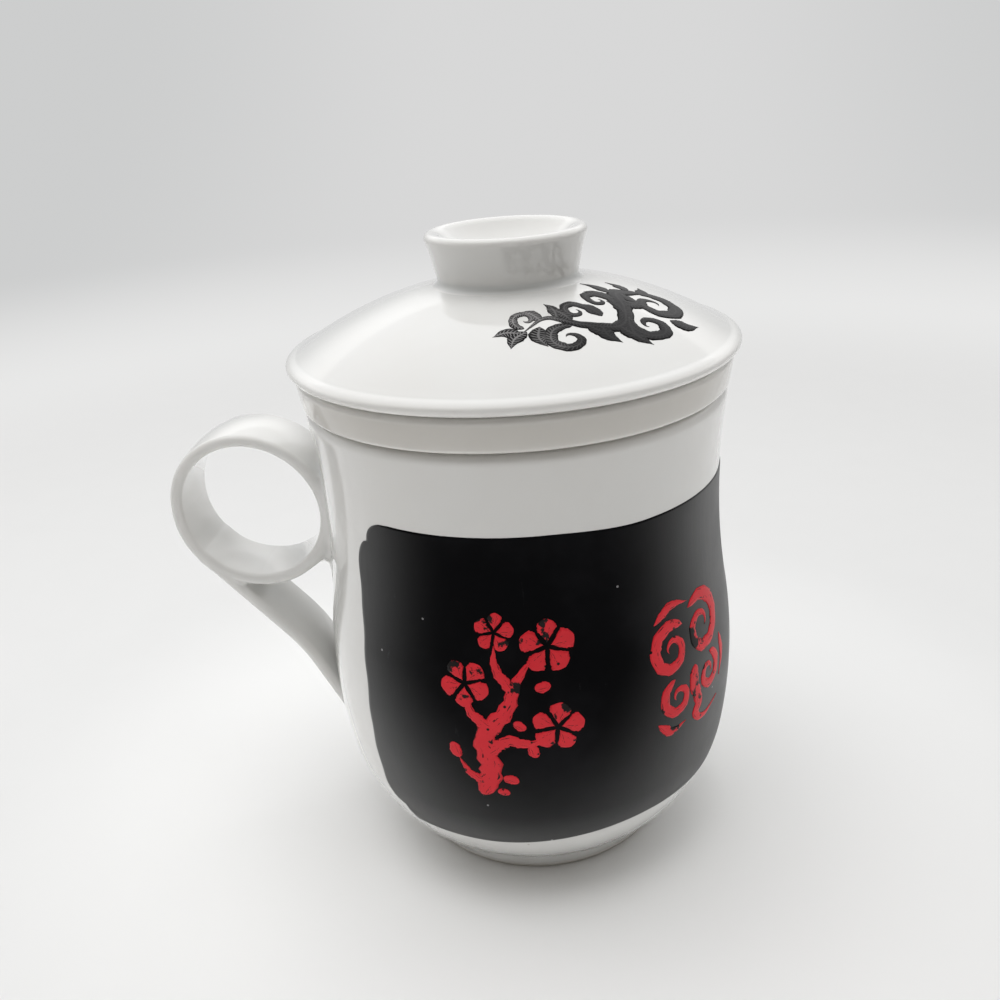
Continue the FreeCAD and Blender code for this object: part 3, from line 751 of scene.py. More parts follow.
def blossom_spray():
    """A flowering branch: one bent bough, four twigs, four blossoms and six buds."""
    bough = [(-6.5, -19.0), (-4.4, -12.5), (-5.2, -5.5), (-0.8, 0.5), (1.6, 6.5), (5.0, 11.0)]
    strokes = [
        (bough, 4.4, brush, 0.10),
        ([(-5.0, -9.0), (-1.0, -6.0), (3.5, -6.6), (7.6, -4.0)], 2.6, brush, 0.12),
        ([(-3.6, -3.6), (-7.2, -0.6), (-9.0, 4.0)], 2.4, brush, 0.12),
        ([(0.6, 4.0), (-2.4, 8.6), (-2.6, 13.0)], 2.1, brush, 0.12),
        ([(-6.0, -15.5), (-8.6, -13.6), (-10.4, -10.4)], 1.9, brush, 0.12),
    ]
    strokes += blossom((7.4, 12.6), 4.7, 18)
    strokes += blossom((-8.4, 5.4), 4.2, 50)
    strokes += blossom((8.4, -3.4), 4.4, 80)
    strokes += blossom((-2.4, 15.6), 3.4, 10)
    strokes += bud((-10.4, -10.4), 3.4, 110)
    strokes += bud((3.2, -6.8), 3.0, -70)
    strokes += bud((4.6, 4.6), 3.0, 10)
    strokes += bud((-2.2, -14.2), 3.0, -20)
    strokes += bud((-3.6, -17.6), 2.4, -10)
    strokes += bud((0.4, -2.0), 2.6, -35)
    return strokes


def cloud_scroll():
    """A drifting cloud: two large curls for its head, two small ones below, a trailing end and three
    short strokes."""
    trail = [(0.8, -1.0), (0.2, -5.0), (1.6, -9.4), (0.6, -12.2), (3.8, -14.0), (9.4, -12.4)]
    return [
        (spiral((4.4, 6.0), 6.6, 130, -1.45), 3.0, brush, 0.08),
        (spiral((-5.4, 4.6), 5.4, 50, 1.40), 2.7, brush, 0.08),
        (spiral((-4.6, -5.6), 4.2, 100, 1.30), 2.3, brush, 0.08),
        (spiral((5.6, -4.8), 4.0, 80, -1.30), 2.3, brush, 0.08),
        (trail, 3.0, brush, 0.08),
        ([(-10.0, -9.6), (-6.6, -12.4), (-2.6, -11.8)], 2.0, leaf, 0.08),
        ([(-9.4, 11.0), (-4.8, 13.4), (0.2, 12.6)], 1.9, leaf, 0.08),
        ([(11.4, 0.6), (12.2, -4.4), (10.4, -8.6)], 1.8, leaf, 0.08),
    ]


def mug_place(azimuth, height):
    """Sets a flat motif on the mug's side, centred at an azimuth and height."""
    def place(flat, lift):
        around = azimuth + np.degrees(flat[..., 0] / BELLY_RADIUS)
        return on_mug(around, height + flat[..., 1], lift + FILM_PROUD)
    return place


def dome_centre():
    """Height of the centre of the dome's sphere, which passes the middle of the lip's width at its top."""
    edge = LID_RADIUS - LID_LIP / 2
    return LID_SEAT + LID_LIP - math.sqrt(DOME_RADIUS**2 - edge**2)


def dome_height(reach):
    """Height of the lid's outside at a distance from the axis, from the dome's sphere."""
    return dome_centre() + np.sqrt(DOME_RADIUS**2 - np.minimum(reach, LID_RADIUS) ** 2)


def lid_place(azimuth, radius):
    """Sets a flat motif on the lid: its first coordinate runs round the lid and its second outwards."""
    def place(flat, lift):
        reach = radius - flat[..., 1]
        angle = np.radians(azimuth) + flat[..., 0] / radius
        x = reach * np.cos(angle)
        y = reach * np.sin(angle)
        stretch = 1 + lift / DOME_RADIUS
        return np.stack([x * stretch, y * stretch, dome_height(reach) + lift], axis=-1)
    return place


def leaf_scroll():
    """Curling leaves on a running stem, thick at the right and thinning to the left. A leaf is given by
    its foot, its heading in degrees and its reach."""
    stem = [(17.5, 2.0), (12.0, 5.2), (6.5, 1.0), (1.0, -3.0), (-5.0, -0.5), (-10.5, 3.0), (-16.0, -1.0)]
    strokes = [
        (stem, 3.4, brush, 0.08),
        (spiral((13.6, -1.6), 5.0, 60, -1.3), 3.0, brush, 0.08),
        (spiral((5.8, -5.0), 3.8, 110, 1.25), 2.5, brush, 0.08),
        (spiral((4.2, 5.4), 3.4, -60, 1.2), 2.4, brush, 0.08),
        (spiral((-3.8, 3.8), 3.2, -40, 1.2), 2.1, brush, 0.08),
        (spiral((-8.6, -3.4), 3.6, 60, 1.2), 2.2, brush, 0.08),
        (spiral((-14.6, 3.2), 2.8, -100, -1.1), 1.8, brush, 0.08),
    ]
    leaves = [
        (10.6, 6.0, 70, 6.0), (8.2, 4.0, 100, 5.8), (15.8, 4.4, 40, 5.0), (10.4, -5.8, -70, 5.0),
        (2.6, -3.0, -110, 6.0), (0.6, -3.0, -75, 5.4), (0.0, 0.6, 95, 5.6), (-2.2, -1.8, -100, 5.0),
        (-6.2, 1.0, 105, 5.8), (-8.4, 2.6, 80, 5.2), (-11.6, 2.2, 120, 5.2), (-12.4, 0.6, -105, 5.4),
        (-14.8, -0.4, -140, 5.0), (-15.8, -0.8, 170, 4.6), (7.2, 1.6, -20, 5.4), (16.8, 2.2, -10, 4.2),
        (9.0, 2.6, -60, 4.6), (4.6, -0.4, 60, 4.8), (-4.4, -0.8, -60, 4.8), (12.6, 4.6, -120, 4.8),
    ]
    for x, y, turn, reach in leaves:
        angle = math.radians(turn)
        curl = math.radians(turn + 35)
        middle = (x + 0.55 * reach * math.cos(angle), y + 0.55 * reach * math.sin(angle))
        tip = (middle[0] + 0.5 * reach * math.cos(curl), middle[1] + 0.5 * reach * math.sin(curl))
        strokes.append(([(x, y), middle, tip], 0.56 * reach, leaf, 0.06))
    return strokes


# Infuser and lid

def make_infuser():
    """The infuser's collar and basket, down to the rim of its strainer."""
    throat = BASKET_RADIUS - BASKET_WALL
    bottom = COLLAR_BOTTOM - BASKET_DEPTH
    floor = bottom + STRAINER_THICKNESS
    corner = BASKET_FOOT_RADIUS - BASKET_WALL - STRAINER_RADIUS
    mouth_floor = COLLAR_TOP - MOUTH_DEPTH
    lap = STRAINER_RADIUS - STRAINER_LAP
    taper = (BASKET_RADIUS - BASKET_FOOT_RADIUS) * BASKET_TAPER_SHARE
    outline = profile([
        (lap, bottom + STRAINER_LAYER),
        (BASKET_FOOT_RADIUS - BASKET_CORNER, bottom + STRAINER_LAYER, BASKET_CORNER, 1),
        (BASKET_FOOT_RADIUS, bottom + BASKET_CORNER),
        (BASKET_RADIUS, COLLAR_BOTTOM - 0.1),
        (COLLAR_FOOT_RADIUS - COLLAR_FOOT_EDGE, COLLAR_BOTTOM, COLLAR_FOOT_EDGE, 1),
        (COLLAR_FOOT_RADIUS, COLLAR_BOTTOM + COLLAR_FOOT_EDGE),
        (COLLAR_RADIUS, COLLAR_TOP - COLLAR_TOP_EDGE, COLLAR_TOP_EDGE, 1),
        (COLLAR_RADIUS - COLLAR_TOP_EDGE, COLLAR_TOP),
        (MOUTH_RADIUS, COLLAR_TOP),
        (MOUTH_RADIUS, mouth_floor),
        (throat + MOUTH_EDGE, mouth_floor, MOUTH_EDGE, 1),
        (throat, mouth_floor - MOUTH_EDGE),
        (throat - taper, floor + corner, corner, -1),
        (lap, floor - STRAINER_LAYER),
    ], closed=True, reach=2.6)
    return lathe(
        "infuser_glaze", outline, closed=True,
        body="infuser", slot="porcelain_infuser", replaced=["infuser_basket"],
    )


def make_lid():
    """The lid's dome, its lip and the flange that drops into the infuser."""
    centre = dome_centre()
    roll = LID_RADIUS - LID_ROLL_REACH
    vault = DOME_RADIUS - DOME_THICKNESS
    inner = FLANGE_RADIUS - FLANGE_WIDTH
    outline = profile([
        (0.0, centre + vault, vault, -1),
        (inner, centre + math.sqrt(vault**2 - inner**2)),
        (inner, FLANGE_BOTTOM),
        (FLANGE_RADIUS, FLANGE_BOTTOM),
        (FLANGE_RADIUS, LID_SEAT),
        (LID_RADIUS - LIP_UNDER, LID_SEAT, LIP_UNDER, 1),
        (LID_RADIUS, LID_SEAT + LIP_UNDER, LID_ROLL, 1),
        (roll, float(dome_height(roll)), DOME_RADIUS, 1),
        (0.0, centre + DOME_RADIUS),
    ], width=0.3)
    return lathe("lid_dish_glaze", outline, body="lid", slot="porcelain_lid", replaced=["lid_dish"])


def make_knob():
    """The lid's knob, a small open cup, with the glaze that gathered round its foot."""
    foot = float(dome_height(KNOB_BASE_RADIUS))
    lip = foot + KNOB_HEIGHT
    top = float(dome_height(0.0))
    crest = KNOB_WALL / 2
    mouth = KNOB_RIM_RADIUS - KNOB_MOUTH
    bowl = top + KNOB_FLOOR
    depth = lip - KNOB_MOUTH_DROP - bowl
    bowl_arc = (mouth**2 + depth**2) / (2 * depth)
    pool = KNOB_BASE_RADIUS + KNOB_POOL
    pool_height = float(dome_height(pool))
    outline = profile([
        (0.0, top - KNOB_ROOT, DOME_RADIUS, -1),
        (pool, pool_height - KNOB_POOL_LIFT),
        (pool - 0.5, pool_height + KNOB_POOL_LIFT, KNOB_POOL_ROUND, -1),
        (KNOB_BASE_RADIUS + 0.15, foot + 1.2),
        (KNOB_BASE_RADIUS + 0.75, foot + 3.4, KNOB_FLARE_ROUND, -1),
        (KNOB_RIM_RADIUS, lip - crest, crest, 1),
        (KNOB_RIM_RADIUS - crest, lip, KNOB_MOUTH_ROUND, 1),
        (mouth, lip - KNOB_MOUTH_DROP, bowl_arc, -1),
        (0.0, bowl),
    ], width=0.22)
    return lathe("lid_knob_glaze", outline, body="lid", slot="porcelain_lid", replaced=["lid_knob"])


# Materials

MUG_GLAZE = (0.745, 0.74, 0.72, 1)
MUG_GLAZE_CLOUD = (0.76, 0.76, 0.745, 1)
# Painted shade: the infuser is the same white porcelain as the mug, made darker and warmer for the lid's
# shadow on its collar and the dim room that the collar mirrors
PAINTED_SHADE_INFUSER_GLAZE = (0.61, 0.59, 0.55, 1)
PAINTED_SHADE_INFUSER_GLAZE_CLOUD = (0.63, 0.612, 0.575, 1)
POOLED_GLAZE = (0.57, 0.595, 0.585, 1)
THIN_GLAZE = (0.80, 0.79, 0.765, 1)
IRON_SPECK = (0.30, 0.24, 0.18, 1)
BISCUIT = (0.62, 0.585, 0.53, 1)
BISCUIT_GRAIN = (0.40, 0.35, 0.29, 1)
CHARCOAL = (0.0022, 0.0022, 0.0028, 1)
CHARCOAL_HAZE = (0.0095, 0.0095, 0.0110, 1)
FILM_SCRATCH = (0.055, 0.055, 0.058, 1)
FILM_DUST = (0.42, 0.42, 0.43, 1)
CINNABAR = (0.70, 0.020, 0.032, 1)
CINNABAR_PALE = (0.78, 0.032, 0.046, 1)
CINNABAR_WORN = (0.006, 0.004, 0.004, 1)
CINNABAR_DRY = (0.012, 0.004, 0.005, 1)
INK = (0.0065, 0.006, 0.0065, 1)
INK_WORN = (0.46, 0.45, 0.45, 1)


class Finish:
    """A material and the few calls that build its nodes."""

    def __init__(self, name, tree=None):
        if tree is None:
            self.material = bpy.data.materials.new(name)
            self.material.use_nodes = True
            tree = self.material.node_tree
            tree.nodes.clear()
        self.tree = tree

    def node(self, kind, settings=None, **inputs):
        """One node. Settings are its properties, and inputs are values or sockets for its sockets."""
        node = self.tree.nodes.new(kind)
        for key, value in (settings or {}).items():
            setattr(node, key, value)
        for key, value in inputs.items():
            self.feed(node.inputs[key.replace("_", " ")], value)
        return node

    def feed(self, socket, value):
        """Links a socket to this one, or sets a plain value on it."""
        if isinstance(value, bpy.types.NodeSocket):
            self.tree.links.new(value, socket)
        else:
            socket.default_value = value

    def mix(self, factor, first, second, blend="MIX"):
        """A colour between two."""
        node = self.tree.nodes.new("ShaderNodeMix")
        node.data_type = "RGBA"
        node.blend_type = blend
        for index, value in ((0, factor), (6, first), (7, second)):
            self.feed(node.inputs[index], value)
        return node.outputs[2]

    def math(self, operation, first, second=0.0):
        """One sum, product or the like of two values."""
        node = self.tree.nodes.new("ShaderNodeMath")
        node.operation = operation
        self.feed(node.inputs[0], first)
        self.feed(node.inputs[1], second)
        return node.outputs[0]

    def ramp(self, value, low, high, bottom=0.0, top=1.0):
        """A smooth step from one value to another."""
        node = self.tree.nodes.new("ShaderNodeMapRange")
        node.interpolation_type = "SMOOTHSTEP"
        for key, item in (
            ("Value", value), ("From Min", low), ("From Max", high), ("To Min", bottom), ("To Max", top),
        ):
            self.feed(node.inputs[key], item)
        return node.outputs[0]

    def place(self):
        """Object coordinates, in metres."""
        return self.node("ShaderNodeTexCoord").outputs["Object"]

    def noise(self, vector, scale, detail=3.0, roughness=0.5):
        """Soft noise from 0 to 1."""
        inputs = {"Vector": vector, "Scale": scale, "Detail": detail, "Roughness": roughness}
        return self.node("ShaderNodeTexNoise", **inputs).outputs["Fac"]

    def attribute(self, name):
        """One of the piece's own numbers."""
        return self.node("ShaderNodeAttribute", {"attribute_name": name}).outputs["Fac"]

    def group(self, name, **inputs):
        """One of the shared effects, with its own values."""
        node = self.tree.nodes.new("ShaderNodeGroup")
        node.node_tree = bpy.data.node_groups[name]
        for key, value in inputs.items():
            self.feed(node.inputs[key], value)
        return node.outputs

    def bump(self, height, strength, distance):
        """A normal tilted by a height."""
        node = self.node("ShaderNodeBump", Height=height, Strength=strength, Distance=distance)
        return node.outputs["Normal"]

    def blend(self, factor, first, second):
        """A mix of two shaders."""
        node = self.tree.nodes.new("ShaderNodeMixShader")
        for index, value in enumerate((factor, first, second)):
            self.feed(node.inputs[index], value)
        return node.outputs[0]

    def principled(self, **inputs):
        """The material, closed with a Principled shader that has these inputs."""
        shader = self.node("ShaderNodeBsdfPrincipled", **inputs)
        output = self.tree.nodes.new("ShaderNodeOutputMaterial")
        self.tree.links.new(shader.outputs[0], output.inputs[0])
        return self.material


def new_group(name, inputs, outputs):
    """An empty shader group and its two ends."""
    tree = bpy.data.node_groups.new(name, "ShaderNodeTree")
    for label, value in inputs:
        socket = tree.interface.new_socket(label, in_out="INPUT", socket_type="NodeSocketFloat")
        socket.default_value = value
    for label in outputs:
        tree.interface.new_socket(label, in_out="OUTPUT", socket_type="NodeSocketFloat")
    finish = Finish(name, tree)
    start = tree.nodes.new("NodeGroupInput").outputs
    end = tree.nodes.new("NodeGroupOutput").inputs
    return finish, start, end


def make_groups():
    """Effects that more than one material shares: the glaze's fine peel, its broad waves and its clouds;
    single specks; and blots where a print is worn."""
    finish, start, end = new_group("glaze_surface", [("Peel", 1.0), ("Waves", 1.0)], ["Height", "Cloud"])
    place = finish.place()
    peel = finish.noise(place, 1400.0, 2.0)
    waves = finish.noise(place, 95.0, 2.0, 0.4)
    fine = finish.math("MULTIPLY", peel, start["Peel"])
    broad = finish.math("MULTIPLY", waves, start["Waves"])
    finish.feed(end["Height"], finish.math("ADD", finish.math("MULTIPLY", fine, 0.05), broad))
    finish.feed(end["Cloud"], finish.noise(place, 38.0, 4.0, 0.55))

    finish, start, end = new_group("specks", [("Scale", 900.0), ("Share", 0.08), ("Spot", 0.2)], ["Mask"])
    place = finish.place()
    cells = finish.node("ShaderNodeTexVoronoi", Vector=place, Scale=start["Scale"])
    chosen = finish.node("ShaderNodeSeparateColor", Color=cells.outputs["Color"]).outputs[0]
    rare = finish.math("LESS_THAN", chosen, start["Share"])
    near = finish.math("LESS_THAN", cells.outputs["Distance"], start["Spot"])
    finish.feed(end["Mask"], finish.math("MULTIPLY", rare, near))

    finish, start, end = new_group("flaws", [("Scale", 260.0), ("Low", 0.55), ("High", 0.6)], ["Mask"])
    place = finish.place()
    blots = finish.noise(place, start["Scale"], 5.0, 0.62)
    finish.feed(end["Mask"], finish.ramp(blots, start["Low"], start["High"]))


def porcelain(name, tint, cloud):
    """White glaze over porcelain: cooler where it gathers, whiter where it thins over an edge, with a few
    iron specks, and bare clay on the foot ring."""
    finish = Finish(name)
    surface = finish.group("glaze_surface")
    edge = finish.attribute("edge")
    pooled = finish.ramp(edge, -0.12, -0.75)
    thinned = finish.ramp(edge, 0.15, 0.8)
    colour = finish.mix(finish.ramp(surface["Cloud"], 0.35, 0.7), tint, cloud)
    colour = finish.mix(finish.math("MULTIPLY", pooled, 0.55), colour, POOLED_GLAZE)
    colour = finish.mix(finish.math("MULTIPLY", thinned, 0.5), colour, THIN_GLAZE)
    specks = finish.group("specks", Scale=420.0, Share=0.004, Spot=0.12)["Mask"]
    colour = finish.mix(finish.math("MULTIPLY", specks, 0.45), colour, IRON_SPECK)
    clay = finish.group("specks", Scale=2600.0, Share=0.2, Spot=0.35)["Mask"]
    biscuit = finish.mix(finish.math("MULTIPLY", clay, 0.3), BISCUIT, BISCUIT_GRAIN)
    bare = finish.attribute("bare")
    colour = finish.mix(bare, colour, biscuit)
    glazed_rough = finish.ramp(surface["Cloud"], 0.3, 0.7, 0.10, 0.15)
    rough = finish.math("ADD", glazed_rough, finish.math("MULTIPLY", bare, 0.72))
    coat = finish.math("SUBTRACT", 1.0, bare)
    normal = finish.bump(surface["Height"], 0.10, 0.00035)
    return finish.principled(
        Base_Color=colour, Roughness=rough, Coat_Weight=coat, Coat_Roughness=0.03, Normal=normal,
    )


def film_finish():
    """Charcoal satin film: rubbed cloudy patches, fine scratches and white dust, and a sheen that comes up
    where the film turns away."""
    finish = Finish("charcoal_film")
    surface = finish.group("glaze_surface", Peel=2.0, Waves=0.4)
    place = finish.place()
    streaks = finish.node(
        "ShaderNodeMapping", Vector=place, Scale=(1.0, 1.0, 0.09), Rotation=(0.3, 0.25, 0.0),
    )
    hair = finish.noise(streaks.outputs[0], 900.0, 6.0, 0.72)
    scratch = finish.ramp(hair, 0.66, 0.72)
    rubbed = finish.ramp(surface["Cloud"], 0.42, 0.74)
    colour = finish.mix(rubbed, CHARCOAL, CHARCOAL_HAZE)
    colour = finish.mix(finish.math("MULTIPLY", scratch, 0.5), colour, FILM_SCRATCH)
    dust = finish.group("specks", Scale=430.0, Share=0.035, Spot=0.10)["Mask"]
    colour = finish.mix(finish.math("MULTIPLY", dust, 0.6), colour, FILM_DUST)
    rough = finish.ramp(surface["Cloud"], 0.3, 0.75, 0.36, 0.50)
    rough = finish.math("ADD", rough, finish.math("MULTIPLY", scratch, 0.15))
    normal = finish.bump(finish.math("ADD", surface["Height"], hair), 0.10, 0.0002)
    grazing = finish.node("ShaderNodeLayerWeight", Blend=0.5).outputs["Facing"]
    sheen = finish.ramp(grazing, 0.18, 0.77, 0.03, 1.0)
    return finish.principled(Base_Color=colour, Roughness=rough, Specular_IOR_Level=sheen, Normal=normal)


def red_print():
    """Red print on the film, worn through to charcoal in blots and pinholes, with streaks that the brush
    left dry along each stroke."""
    finish = Finish("red_print")
    surface = finish.group("glaze_surface", Peel=1.5, Waves=0.5)
    worn = finish.group("flaws", Scale=210.0, Low=0.595, High=0.625)["Mask"]
    pinholes = finish.group("specks", Scale=900.0, Share=0.10, Spot=0.26)["Mask"]
    colour = finish.mix(finish.ramp(surface["Cloud"], 0.3, 0.7), CINNABAR, CINNABAR_PALE)
    colour = finish.mix(finish.math("MAXIMUM", worn, pinholes), colour, CINNABAR_WORN)
    across = finish.attribute("across")
    along = finish.math("MULTIPLY", finish.attribute("along"), 0.09)
    span = finish.node("ShaderNodeCombineXYZ", X=across, Y=along)
    dry = finish.noise(span.outputs[0], 3.4, 3.0, 0.6)
    colour = finish.mix(finish.ramp(dry, 0.60, 0.64), colour, CINNABAR_DRY)
    rough = finish.ramp(surface["Cloud"], 0.3, 0.7, 0.32, 0.44)
    normal = finish.bump(surface["Height"], 0.10, 0.0002)
    return finish.principled(Base_Color=colour, Roughness=rough, Specular_IOR_Level=0.16, Normal=normal)


def ink_print():
    """Dark grey print on the lid: a pale vein down each stroke and slanted hatching beside it, both
    stronger towards the print's left end."""
    finish = Finish("ink_print")
    surface = finish.group("glaze_surface")
    place = finish.place()
    across = finish.math("ABSOLUTE", finish.attribute("across"))
    vein = finish.ramp(across, 0.20, 0.06)
    along = finish.math("MULTIPLY", finish.attribute("along"), 11.0)
    slant = finish.math("ADD", along, finish.math("MULTIPLY", across, 7.0))
    hatch = finish.ramp(finish.math("SINE", slant), 0.25, 0.95)
    hatch = finish.math("MULTIPLY", hatch, finish.ramp(across, 0.90, 0.60))
    spread = finish.node("ShaderNodeSeparateXYZ", Vector=place).outputs[0]
    fading = finish.ramp(spread, 0.0170, -0.0010, 0.06, 0.75)
    worn = finish.group("flaws", Scale=160.0, Low=0.40, High=0.62)["Mask"]
    lines = finish.math("MAXIMUM", vein, hatch)
    light = finish.math("ADD", finish.math("MULTIPLY", worn, 0.3), finish.math("MULTIPLY", lines, 0.75))
    light = finish.math("MULTIPLY", light, fading)
    colour = finish.mix(light, INK, INK_WORN)
    normal = finish.bump(surface["Height"], 0.10, 0.0003)
    rough = finish.ramp(surface["Cloud"], 0.3, 0.7, 0.24, 0.36)
    return finish.principled(Base_Color=colour, Roughness=rough, Specular_IOR_Level=0.08, Normal=normal)


# Stage, light and camera

FLOOR_RADIUS = 900.0
FLOOR_LEVEL = -0.01
FLOOR_BEND = 500.0
WALL_HEIGHT = 900.0
# Painted light: between these distances from the mug the seen paper grows paler towards the mug, lifting
# its shadow
PAINTED_LIGHT_NEAR = 50.0
PAINTED_LIGHT_FAR = 150.0
FLOOR_NEAR = 290.0
FLOOR_FAR = 520.0
# Painted light: distances and heights over which the glow of the far floor and wall changes its level
WALL_NEAR = 380.0
WALL_FAR = 950.0
ASIDE_NEAR = 150.0
ASIDE_FAR = 600.0
WALL_TOP_LOW = 280.0
WALL_TOP_HIGH = 880.0
PAPER_LIT = (0.97, 0.97, 0.965, 1)
PAPER_LIT_GRAIN = (0.98, 0.98, 0.975, 1)
PAPER = (0.742, 0.742, 0.738, 1)
PAPER_GRAIN = (0.757, 0.757, 0.753, 1)
# Painted light: the seen paper's colour close round the mug
PAINTED_LIGHT_UNDER_MUG = (0.885, 0.885, 0.878, 1)
# Painted light: levels at which the far floor and wall glow, brightest at the wall's foot and dimmer
# further back and to the sides
WALL_FOOT_PAINTED_LIGHT = (0.825, 0.825, 0.82, 1)
WALL_MIDDLE_PAINTED_LIGHT = (0.685, 0.685, 0.685, 1)
WALL_ASIDE_PAINTED_LIGHT = (0.61, 0.615, 0.615, 1)

ROOM_DIM = 0.06
ROOM_BRIGHT = 1.12
ROOM_FLOOR = 0.48
ROOM_WARM = (1.0, 0.925, 0.84, 1)
ROOM_COOL = (0.99, 0.995, 1.0, 1)
LAMP_AIM = (0, 0, 60)
WINDOW_PLACE = (-460, -400, 380)
WINDOW_SIZE = (260, 380)
WINDOW_POWER = 0.16
CEILING_PLACE = (-100, -40, 800)
CEILING_SIZE = (620, 560)
CEILING_POWER = 3.05

FOCAL_PIXELS = 1000.0
IMAGE_PIXELS = 1000.0
SENSOR_WIDTH = 36.0
CLIP_START = 5.0
CAMERA_DISTANCE = 218.5746
CAMERA_ELEVATION = 28.3207
CAMERA_PAN = -1.2772
CAMERA_TILT = -5.0370
CAMERA_ROLL = 3.5542
CAMERA_AIM_HEIGHT = 52.6253
CAMERA_TURN = 4.555


def stage_finish():
    """Pale paper. Near the mug it takes light and shadow, a little greyer where it is seen than where it
    sends light on, and where it is seen close round the mug it is painted paler, painted light that lifts
    the mug's shadow. Further off only the camera, gloss and glass see it, as a glow of painted light: paler
    at the wall's foot and darker further back and to the sides, so that the room's light comes in from all
    sides. The top of the wall glows with painted light at the tone of the room behind it, bright behind the
    mug and dim in front."""
    finish = Finish("backdrop_paper")
    place = finish.place()
    away = finish.node("ShaderNodeVectorMath", {"operation": "LENGTH"}, Vector=place).outputs["Value"]
    path = finish.node("ShaderNodeLightPath").outputs
    seen = finish.math("MAXIMUM", path["Is Glossy Ray"], path["Is Transmission Ray"])
    seen = finish.math("MAXIMUM", seen, path["Is Camera Ray"])
    grain = finish.noise(place, 60.0, 2.0)
    lit = finish.mix(grain, PAPER_LIT, PAPER_LIT_GRAIN)
    shown = finish.mix(grain, PAPER, PAPER_GRAIN)
    # Painted light: close round the mug the paper is shown paler, which lifts the mug's shadow there
    shown = finish.mix(finish.ramp(away, PAINTED_LIGHT_FAR * MM, PAINTED_LIGHT_NEAR * MM), shown, PAINTED_LIGHT_UNDER_MUG)
    paper = finish.node("ShaderNodeBsdfDiffuse", Color=finish.mix(seen, lit, shown)).outputs[0]
    # Painted light: further off, the floor and wall glow, paler at the wall's foot, darker further back and
    # to the sides, and at the wall's top brighter behind the mug than in front
    x, y, z = finish.node("ShaderNodeSeparateXYZ", Vector=place).outputs
    aside = finish.math("ABSOLUTE", x)
    tone = finish.mix(finish.ramp(aside, ASIDE_NEAR * MM, ASIDE_FAR * MM), WALL_MIDDLE_PAINTED_LIGHT, WALL_ASIDE_PAINTED_LIGHT)
    fade = finish.ramp(away, WALL_NEAR * MM, WALL_FAR * MM)
    tone = finish.mix(fade, WALL_FOOT_PAINTED_LIGHT, tone)
    top = finish.ramp(z, WALL_TOP_LOW * MM, WALL_TOP_HIGH * MM)
    tone = finish.mix(top, tone, finish.ramp(y, -1.4, 1.1, 0.12, 1.3))
    glow = finish.node("ShaderNodeEmission", Color=tone).outputs[0]
    clear = finish.node("ShaderNodeBsdfTransparent").outputs[0]
    far = finish.blend(seen, clear, glow)
    surface = finish.blend(finish.ramp(away, FLOOR_NEAR * MM, FLOOR_FAR * MM), paper, far)
    output = finish.tree.nodes.new("ShaderNodeOutputMaterial")
    finish.tree.links.new(surface, output.inputs[0])
    return finish.material


def make_stage():
    """A floor that rises into a wall all round: an arc of revolution."""
    wall = FLOOR_RADIUS + FLOOR_BEND
    outline = trace([
        (0.0, FLOOR_LEVEL),
        (FLOOR_RADIUS, FLOOR_LEVEL, FLOOR_BEND, 1),
        (wall, FLOOR_BEND),
        (wall, WALL_HEIGHT),
    ], closed=False)
    points = outline[::60]
    segments = 96
    faces = grid_faces(len(points), segments, wrap=True)[:, ::-1].tolist()
    floor = new_piece("studio_floor", revolve(points, segments), faces)
    floor.data.materials.append(stage_finish())


def add_lamp(name, place, size, power):
    """A soft rectangular lamp that faces the mug, in millimetres and watts. Gloss doesn't show it."""
    lamp = bpy.data.lights.new(name, "AREA")
    lamp.shape = "RECTANGLE"
    lamp.size = size[0] * MM
    lamp.size_y = size[1] * MM
    lamp.energy = power
    holder = bpy.data.objects.new(name, lamp)
    holder.visible_glossy = False
    place = Vector(place) * MM
    facing = (place - Vector(LAMP_AIM) * MM).to_track_quat("Z", "Y")
    holder.matrix_world = Matrix.Translation(place) @ facing.to_matrix().to_4x4()
    bpy.context.collection.objects.link(holder)


def light_scene():
    """A room that is bright above and behind the mug, paler at its sides and dim and warm in front, over a
    grey floor. Its level follows 0.80 z + 0.45 y + 0.30 |x| + 0.02 x of the way looked. One lamp stands
    for a window at the left and one for the ceiling."""
    world = bpy.data.worlds.new("soft_room")
    world.use_nodes = True
    world.node_tree.nodes.clear()
    room = Finish("soft_room", world.node_tree)
    facing = room.node("ShaderNodeTexCoord").outputs["Generated"]
    x, y, z = room.node("ShaderNodeSeparateXYZ", Vector=facing).outputs
    lean = room.math("ADD", room.math("MULTIPLY", z, 0.80), room.math("MULTIPLY", y, 0.45))
    sides = room.math("MULTIPLY", room.math("ABSOLUTE", x), 0.30)
    sides = room.math("ADD", sides, room.math("MULTIPLY", x, 0.02))
    level = room.ramp(room.math("ADD", lean, sides), 0.20, 1.0, ROOM_DIM, ROOM_BRIGHT)
    below = room.ramp(z, 0.02, -0.06)
    above = room.math("MULTIPLY", level, room.math("SUBTRACT", 1.0, below))
    level = room.math("ADD", above, room.math("MULTIPLY", below, ROOM_FLOOR))
    warmth = room.mix(room.ramp(level, 0.1, 0.9), ROOM_WARM, ROOM_COOL)
    glow = room.node("ShaderNodeBackground", Color=warmth, Strength=level)
    output = world.node_tree.nodes.new("ShaderNodeOutputWorld")
    world.node_tree.links.new(glow.outputs[0], output.inputs[0])
    bpy.context.scene.world = world
    add_lamp("window", WINDOW_PLACE, WINDOW_SIZE, WINDOW_POWER)
    add_lamp("ceiling", CEILING_PLACE, CEILING_SIZE, CEILING_POWER)


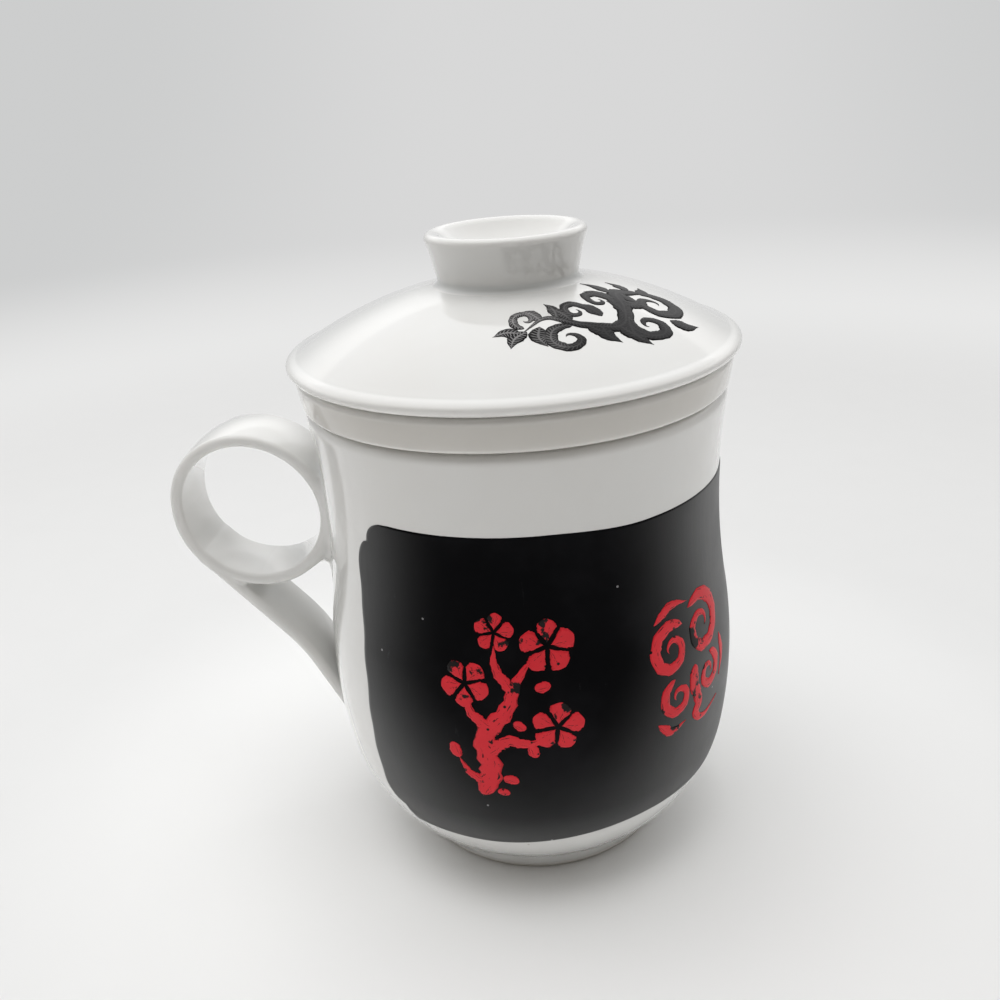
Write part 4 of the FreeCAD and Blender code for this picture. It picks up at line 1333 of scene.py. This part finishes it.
def set_camera():
    """The photograph's camera: it stands off a point on the mug's axis, then pans, tilts and rolls."""
    elevation = math.radians(CAMERA_ELEVATION)
    cos, sin = math.cos(elevation), math.sin(elevation)
    axes = Matrix(((1, 0, 0), (0, sin, cos), (0, -cos, sin)))
    pan = Matrix.Rotation(math.radians(CAMERA_PAN), 3, "Y")
    tilt = Matrix.Rotation(math.radians(CAMERA_TILT), 3, "X")
    roll = Matrix.Rotation(math.radians(CAMERA_ROLL), 3, "Z")
    turn = Matrix.Rotation(math.radians(CAMERA_TURN), 3, "Z")
    facing = turn @ (roll @ tilt @ pan @ axes).transposed()
    stand = Vector((0, -CAMERA_DISTANCE * cos, CAMERA_AIM_HEIGHT + CAMERA_DISTANCE * sin)) * MM
    camera = bpy.data.cameras.new("camera")
    camera.sensor_width = SENSOR_WIDTH
    camera.lens = FOCAL_PIXELS * SENSOR_WIDTH / IMAGE_PIXELS
    camera.clip_start = CLIP_START * MM
    holder = bpy.data.objects.new("camera", camera)
    holder.matrix_world = Matrix.Translation(turn @ stand) @ facing.to_4x4()
    bpy.context.collection.objects.link(holder)
    bpy.context.scene.camera = holder


def dress(piece, material):
    """Gives a piece its one material."""
    piece.data.materials.clear()
    piece.data.materials.append(material)


def dress_strainer(material):
    """The strainer shows the CAD solid itself, so every slot of its node takes the material."""
    strainer = nodes["infuser_strainer"]
    if not strainer.material_slots:
        strainer.data.materials.append(material)
    for slot in strainer.material_slots:
        slot.material = material


make_groups()
white = porcelain("white_porcelain", MUG_GLAZE, MUG_GLAZE_CLOUD)
dress(make_mug(), white)
dress(make_handle(), white)
# The infuser wears the darker, warmer copy of the white glaze, which is painted shade
dress(make_infuser(), porcelain("infuser_porcelain_painted_shade", PAINTED_SHADE_INFUSER_GLAZE, PAINTED_SHADE_INFUSER_GLAZE_CLOUD))
dress(make_lid(), white)
dress(make_knob(), white)
dress(make_film(), film_finish())
dress_strainer(white)

red = red_print()
on_film = {"body": "mug", "slot": "film"}
on_lid = {"body": "lid", "slot": "porcelain_lid"}
blossom_at = mug_place(*BLOSSOM_PLACE)
cloud_at = mug_place(*CLOUD_PLACE)
scroll_at = lid_place(*SCROLL_PLACE)
dress(print_motif("blossom_print", blossom_spray(), blossom_at, RED_PROUD, **on_film), red)
dress(print_motif("cloud_print", cloud_scroll(), cloud_at, RED_PROUD, **on_film), red)
dress(print_motif("leaf_print", leaf_scroll(), scroll_at, INK_PROUD, **on_lid), ink_print())

make_stage()
light_scene()
set_camera()
bpy.context.scene.view_settings.view_transform = "Standard"
